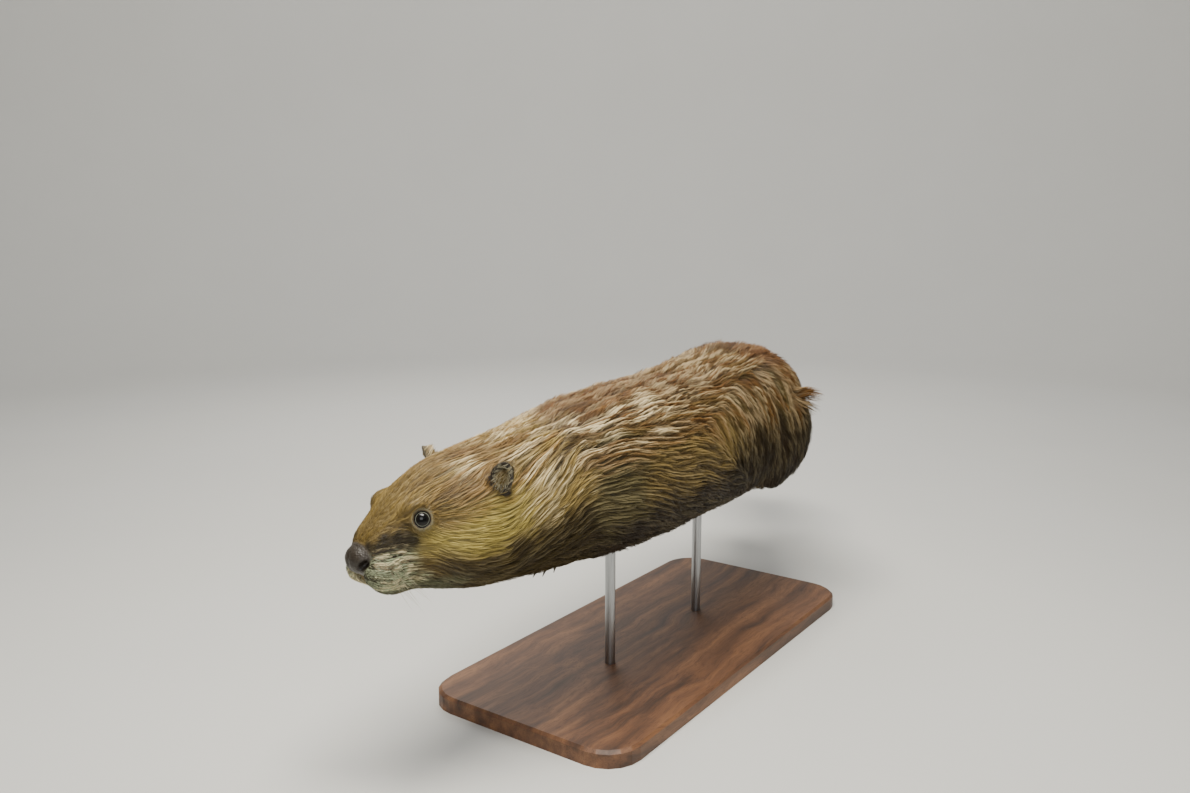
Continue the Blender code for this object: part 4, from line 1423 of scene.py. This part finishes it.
def makeEyes():
    paint = Finish("dark_eye", Roughness=0.10, IOR=1.36)
    at = paint.node("UVMap", {"uv_map": "UVMap"})
    high = paint.node("SeparateXYZ", None, {0: at}, 1)
    turn = 1 - high + (paint.noise(900.0) - 0.5) * 0.010
    tones = [(place, tone(*parts)) for place, parts in ballPlan["tones"]]
    paint.feed("Base Color", paint.node("ValToRGB", {"stops": tones}, {0: turn}))
    radius, clear = eyePlan["ball"], ballPlan["clear"]
    for name, (middle, way) in eyeFrames.items():
        bpy.ops.mesh.primitive_uv_sphere_add(
            segments=ballPlan["segments"],
            ring_count=ballPlan["rings"],
            radius=radius,
            location=middle,
            rotation=Vector(way).to_track_quat("Z", "Y").to_euler(),
        )
        ball = bpy.context.object
        ball.name = "eyeball" + name[3:]
        for vertex in ball.data.vertices:
            past = vertex.co.z / radius - clear
            if past > 0:
                vertex.co.z += ballPlan["bulge"] * past / (1 - clear)
        bpy.ops.object.transform_apply(location=True, rotation=True, scale=True)
        bpy.ops.object.shade_smooth()
        ball.data.materials.append(paint.material)
        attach(ball, "root")
        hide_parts(name)


makeEyes()
tell("eyes")

# whiskers

whiskerPlan = {
    "perSide": 11,
    "rows": 4,
    "place": (0.014, -0.012),  # of the first: behind the nose, above the spine
    "apart": (0.0058, 0.0016, 0.0052),  # from place to place, from row to row backwards and down
    "jitter": 0.001,
    "length": (0.020, 0.040),
    "thickness": 0.00017,
    "rings": 8,
    "sides": 5,
}
skinTree = surfaceTree(ground.co, ground.triangles)


def hitSkin(s, across, above):
    # the skin's place and direction on the way between two points beside the spine, from the second one
    inside, outside = bodyPoint([s, s], across, above)
    reach = Vector(inside - outside)
    return skinTree.ray_cast(Vector(outside), reach.normalized(), 0.08)[:2]


def whiskerMiddles(chance):
    # the middle line of each whisker, and its direction
    jitter = whiskerPlan["jitter"]
    back, above = whiskerPlan["place"]
    placeStep, rowStep, downStep = whiskerPlan["apart"]
    low, high = whiskerPlan["length"]
    for side in (1, -1):
        for number in range(whiskerPlan["perSide"]):
            row, place = number % whiskerPlan["rows"], number // whiskerPlan["rows"]
            s = back + placeStep * place + rowStep * row + chance.uniform(-jitter, jitter)
            height = above - downStep * row + chance.uniform(-jitter, jitter)
            root, normal = hitSkin(s, [0.004 * side, 0.060 * side], [height, height])
            if root is None:
                continue
            ahead, _, up = axesAt(s)
            way = np.array(normal) * 0.55 - ahead * chance.uniform(0.05, 0.40) - up * chance.uniform(0.75, 1.15)
            way = unit(way + chance.normal(0, 0.08, 3))
            long = low + (high - low) * (0.35 + 0.65 * place / 4) * chance.uniform(0.8, 1.1)
            bend = -ahead * 0.55 - np.array([0, 0, 1.0]) * chance.uniform(0.25, 0.6)
            t = np.linspace(-0.04, 1, whiskerPlan["rings"])[:, None]
            yield np.array(root) + way * t * long + bend * (t * np.abs(t)) * long * 0.45, way


def makeWhiskers():
    points, faces = [], []
    rings, sides = whiskerPlan["rings"], whiskerPlan["sides"]
    radius = whiskerPlan["thickness"] * (1 - np.linspace(0, 1, rings) ** 1.5 * 0.88)
    for middle, way in whiskerMiddles(np.random.default_rng(5)):
        cross = unit(np.cross(way, [0.13, 0.21, 0.97]))
        other = unit(np.cross(way, cross))
        start = len(points)
        for spot, half in zip(middle, radius):
            for angle in np.arange(sides) * 2 * math.pi / sides:
                points.append(spot + half * (math.cos(angle) * cross + math.sin(angle) * other))
        faces += ringFaces(start, rings, sides)
        faces.append(tuple(start + j for j in reversed(range(sides))))
    piece = pieceOf("whiskers", points, faces)
    paint = Finish("whisker_horn", Roughness=0.35)
    paint.feed("Base Color", paint.mix(paint.noise(90.0, 2.0), tone(112, 104, 78), tone(178, 170, 140)))
    piece.data.materials.append(paint.material)
    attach(piece, "root")


makeWhiskers()
tell("whiskers")

# scales on the tail

scalePlan = {
    "along": 0.0044,
    "across": 0.0054,
    "rise": 0.0006,
    "from": 0.817,
    "to": 1.062,
    "columns": 13,  # to either side of the tail's middle
    "jitter": 0.0004,
    "sizes": (0.92, 1.06),
    "tilts": (0.00012, 0.00030),
    "rings": ((1.0, -0.15), (0.80, 0.85), (0.40, 1.0)),  # width and height as shares
    "corners": 6,
}
tailTree = surfaceTree(*meshArrays(nodes["tail"].data))


def scalePlaces(chance):
    # where on the tail's two faces each scale lies, and the skin's direction there
    jitter, half = scalePlan["jitter"], scalePlan["columns"]
    for face in (1, -1):
        for row, s in enumerate(np.arange(scalePlan["from"], scalePlan["to"], scalePlan["along"])):
            ahead, _, up = axesAt(s)
            for column in range(-half, half + 1):
                across = (column + 0.5 * (row % 2)) * scalePlan["across"] + chance.uniform(-jitter, jitter)
                hit, normal = hitSkin(s, [across, across], [-0.002 * face, 0.06 * face])
                if hit is None or abs(normal.dot(Vector(up))) < 0.35 or tailTree.find_nearest(hit)[3] > 0.004:
                    continue
                yield np.array(hit), np.array(normal), -ahead


def makeScales():
    chance = np.random.default_rng(9)
    corners, rings = scalePlan["corners"], scalePlan["rings"]
    angles = np.radians(np.arange(corners) * 60 + 30)
    points, faces, tints = [], [], []
    for spot, up, back in scalePlaces(chance):
        back = unit(back - (back @ up) * up)
        wide = np.cross(up, back)
        size, tilt = chance.uniform(*scalePlan["sizes"]), chance.uniform(*scalePlan["tilts"])
        start = len(points)
        for ring, (scale, high) in enumerate(rings):
            for angle in angles:
                x, y = math.cos(angle) * scalePlan["across"] * 0.56, math.sin(angle) * scalePlan["along"] * 0.64
                lift = high * scalePlan["rise"] + (tilt * y / scalePlan["along"] if ring else 0)
                points.append(spot + size * scale * (x * wide + y * back) + lift * up)
        faces += ringFaces(start, len(rings), corners)
        tints += [chance.random()] * corners * len(rings)
    piece = pieceOf("tail_scales", points, faces)
    store(piece.data, "scale", [np.array(tints)] * 3)
    paint = Finish("tail_scale", Roughness=0.45)
    own = paint.marks("scale")[0]
    grain, fine = paint.noise(160.0, 4.0), paint.noise(1500.0)
    colour = paint.mix(own, tone(52, 47, 43), tone(84, 77, 70))
    paint.feed("Base Color", paint.mix(paint.spread(grain, 0.45, 0.75), colour, tone(38, 34, 31)))
    paint.feed("Roughness", 0.38 + fine * 0.25)
    paint.bump(fine + grain * 0.6, 0.0003, 0.5)
    piece.data.materials.append(paint.material)
    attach(piece, "root")
    tell(f"{len(tints) // (corners * len(rings))} scales on the tail")


makeScales()

# claws, and the stand of oiled wood and brushed metal

standTones = {
    "wood": ((58, 36, 22), (104, 68, 42), (136, 94, 60)),
    "metal": ((186, 188, 190), (150, 152, 155)),
    "claw": ((34, 29, 26), (92, 80, 68)),
}


def clawMaterial():
    horn = Finish("claw_horn", Roughness=0.32)
    streaks = horn.noise(900.0, 4.0, 0.6, horn.place((0.25, 1, 1)))
    dark, light = (tone(*part) for part in standTones["claw"])
    horn.feed("Base Color", horn.mix(horn.spread(streaks, 0.35, 0.7), dark, light))
    horn.bump(streaks, 0.0002, 0.4)
    return horn.material


def woodMaterial():
    wood = Finish("oiled_walnut", Roughness=0.5, Coat_Weight=0.10, Coat_Roughness=0.5)
    bent = wood.noise(6.0, 3.0, 0.5, output=1)
    bending = {0: bent, 1: (0.02, 0.05, 0.05), 2: wood.place()}
    at = wood.node("VectorMath", {"operation": "MULTIPLY_ADD"}, bending)
    longways = wood.node("Mapping", None, {"Vector": at, "Scale": (1.2, 22.0, 22.0)})
    rings = wood.noise(3.0, 5.0, 0.55, longways)
    pores = wood.noise(34.0, 4.0, 0.7, longways)
    dark, middle, light = (tone(*part) for part in standTones["wood"])
    grain = wood.node("ValToRGB", {"stops": [(0.30, dark), (0.50, middle), (0.70, light)]}, {0: rings})
    wood.feed("Base Color", wood.mix(wood.spread(pores, 0.48, 0.66) * 0.55, grain, dark))
    wood.feed("Roughness", 0.44 + pores * 0.2)
    wood.bump(pores * 0.5 + rings * 0.5, 0.0005, 0.35)
    return wood.material


def metalMaterial():
    metal = Finish("brushed_steel", Metallic=1.0)
    brushed = metal.noise(700.0, 3.0, 0.6, metal.place((1, 1, 0.03)))
    light, dark = (tone(*part) for part in standTones["metal"])
    metal.feed("Base Color", metal.mix(brushed, light, dark))
    metal.feed("Roughness", 0.22 + brushed * 0.22)
    metal.bump(brushed, 0.0001, 0.3)
    return metal.material


finishes = {"claw_": clawMaterial(), "stand_base": woodMaterial(), "stand_rod": metalMaterial()}
for name, node in nodes.items():
    for start, material in finishes.items():
        if name.startswith(start):
            node.data.materials.clear()
            node.data.materials.append(material)
tell("claws and stand")
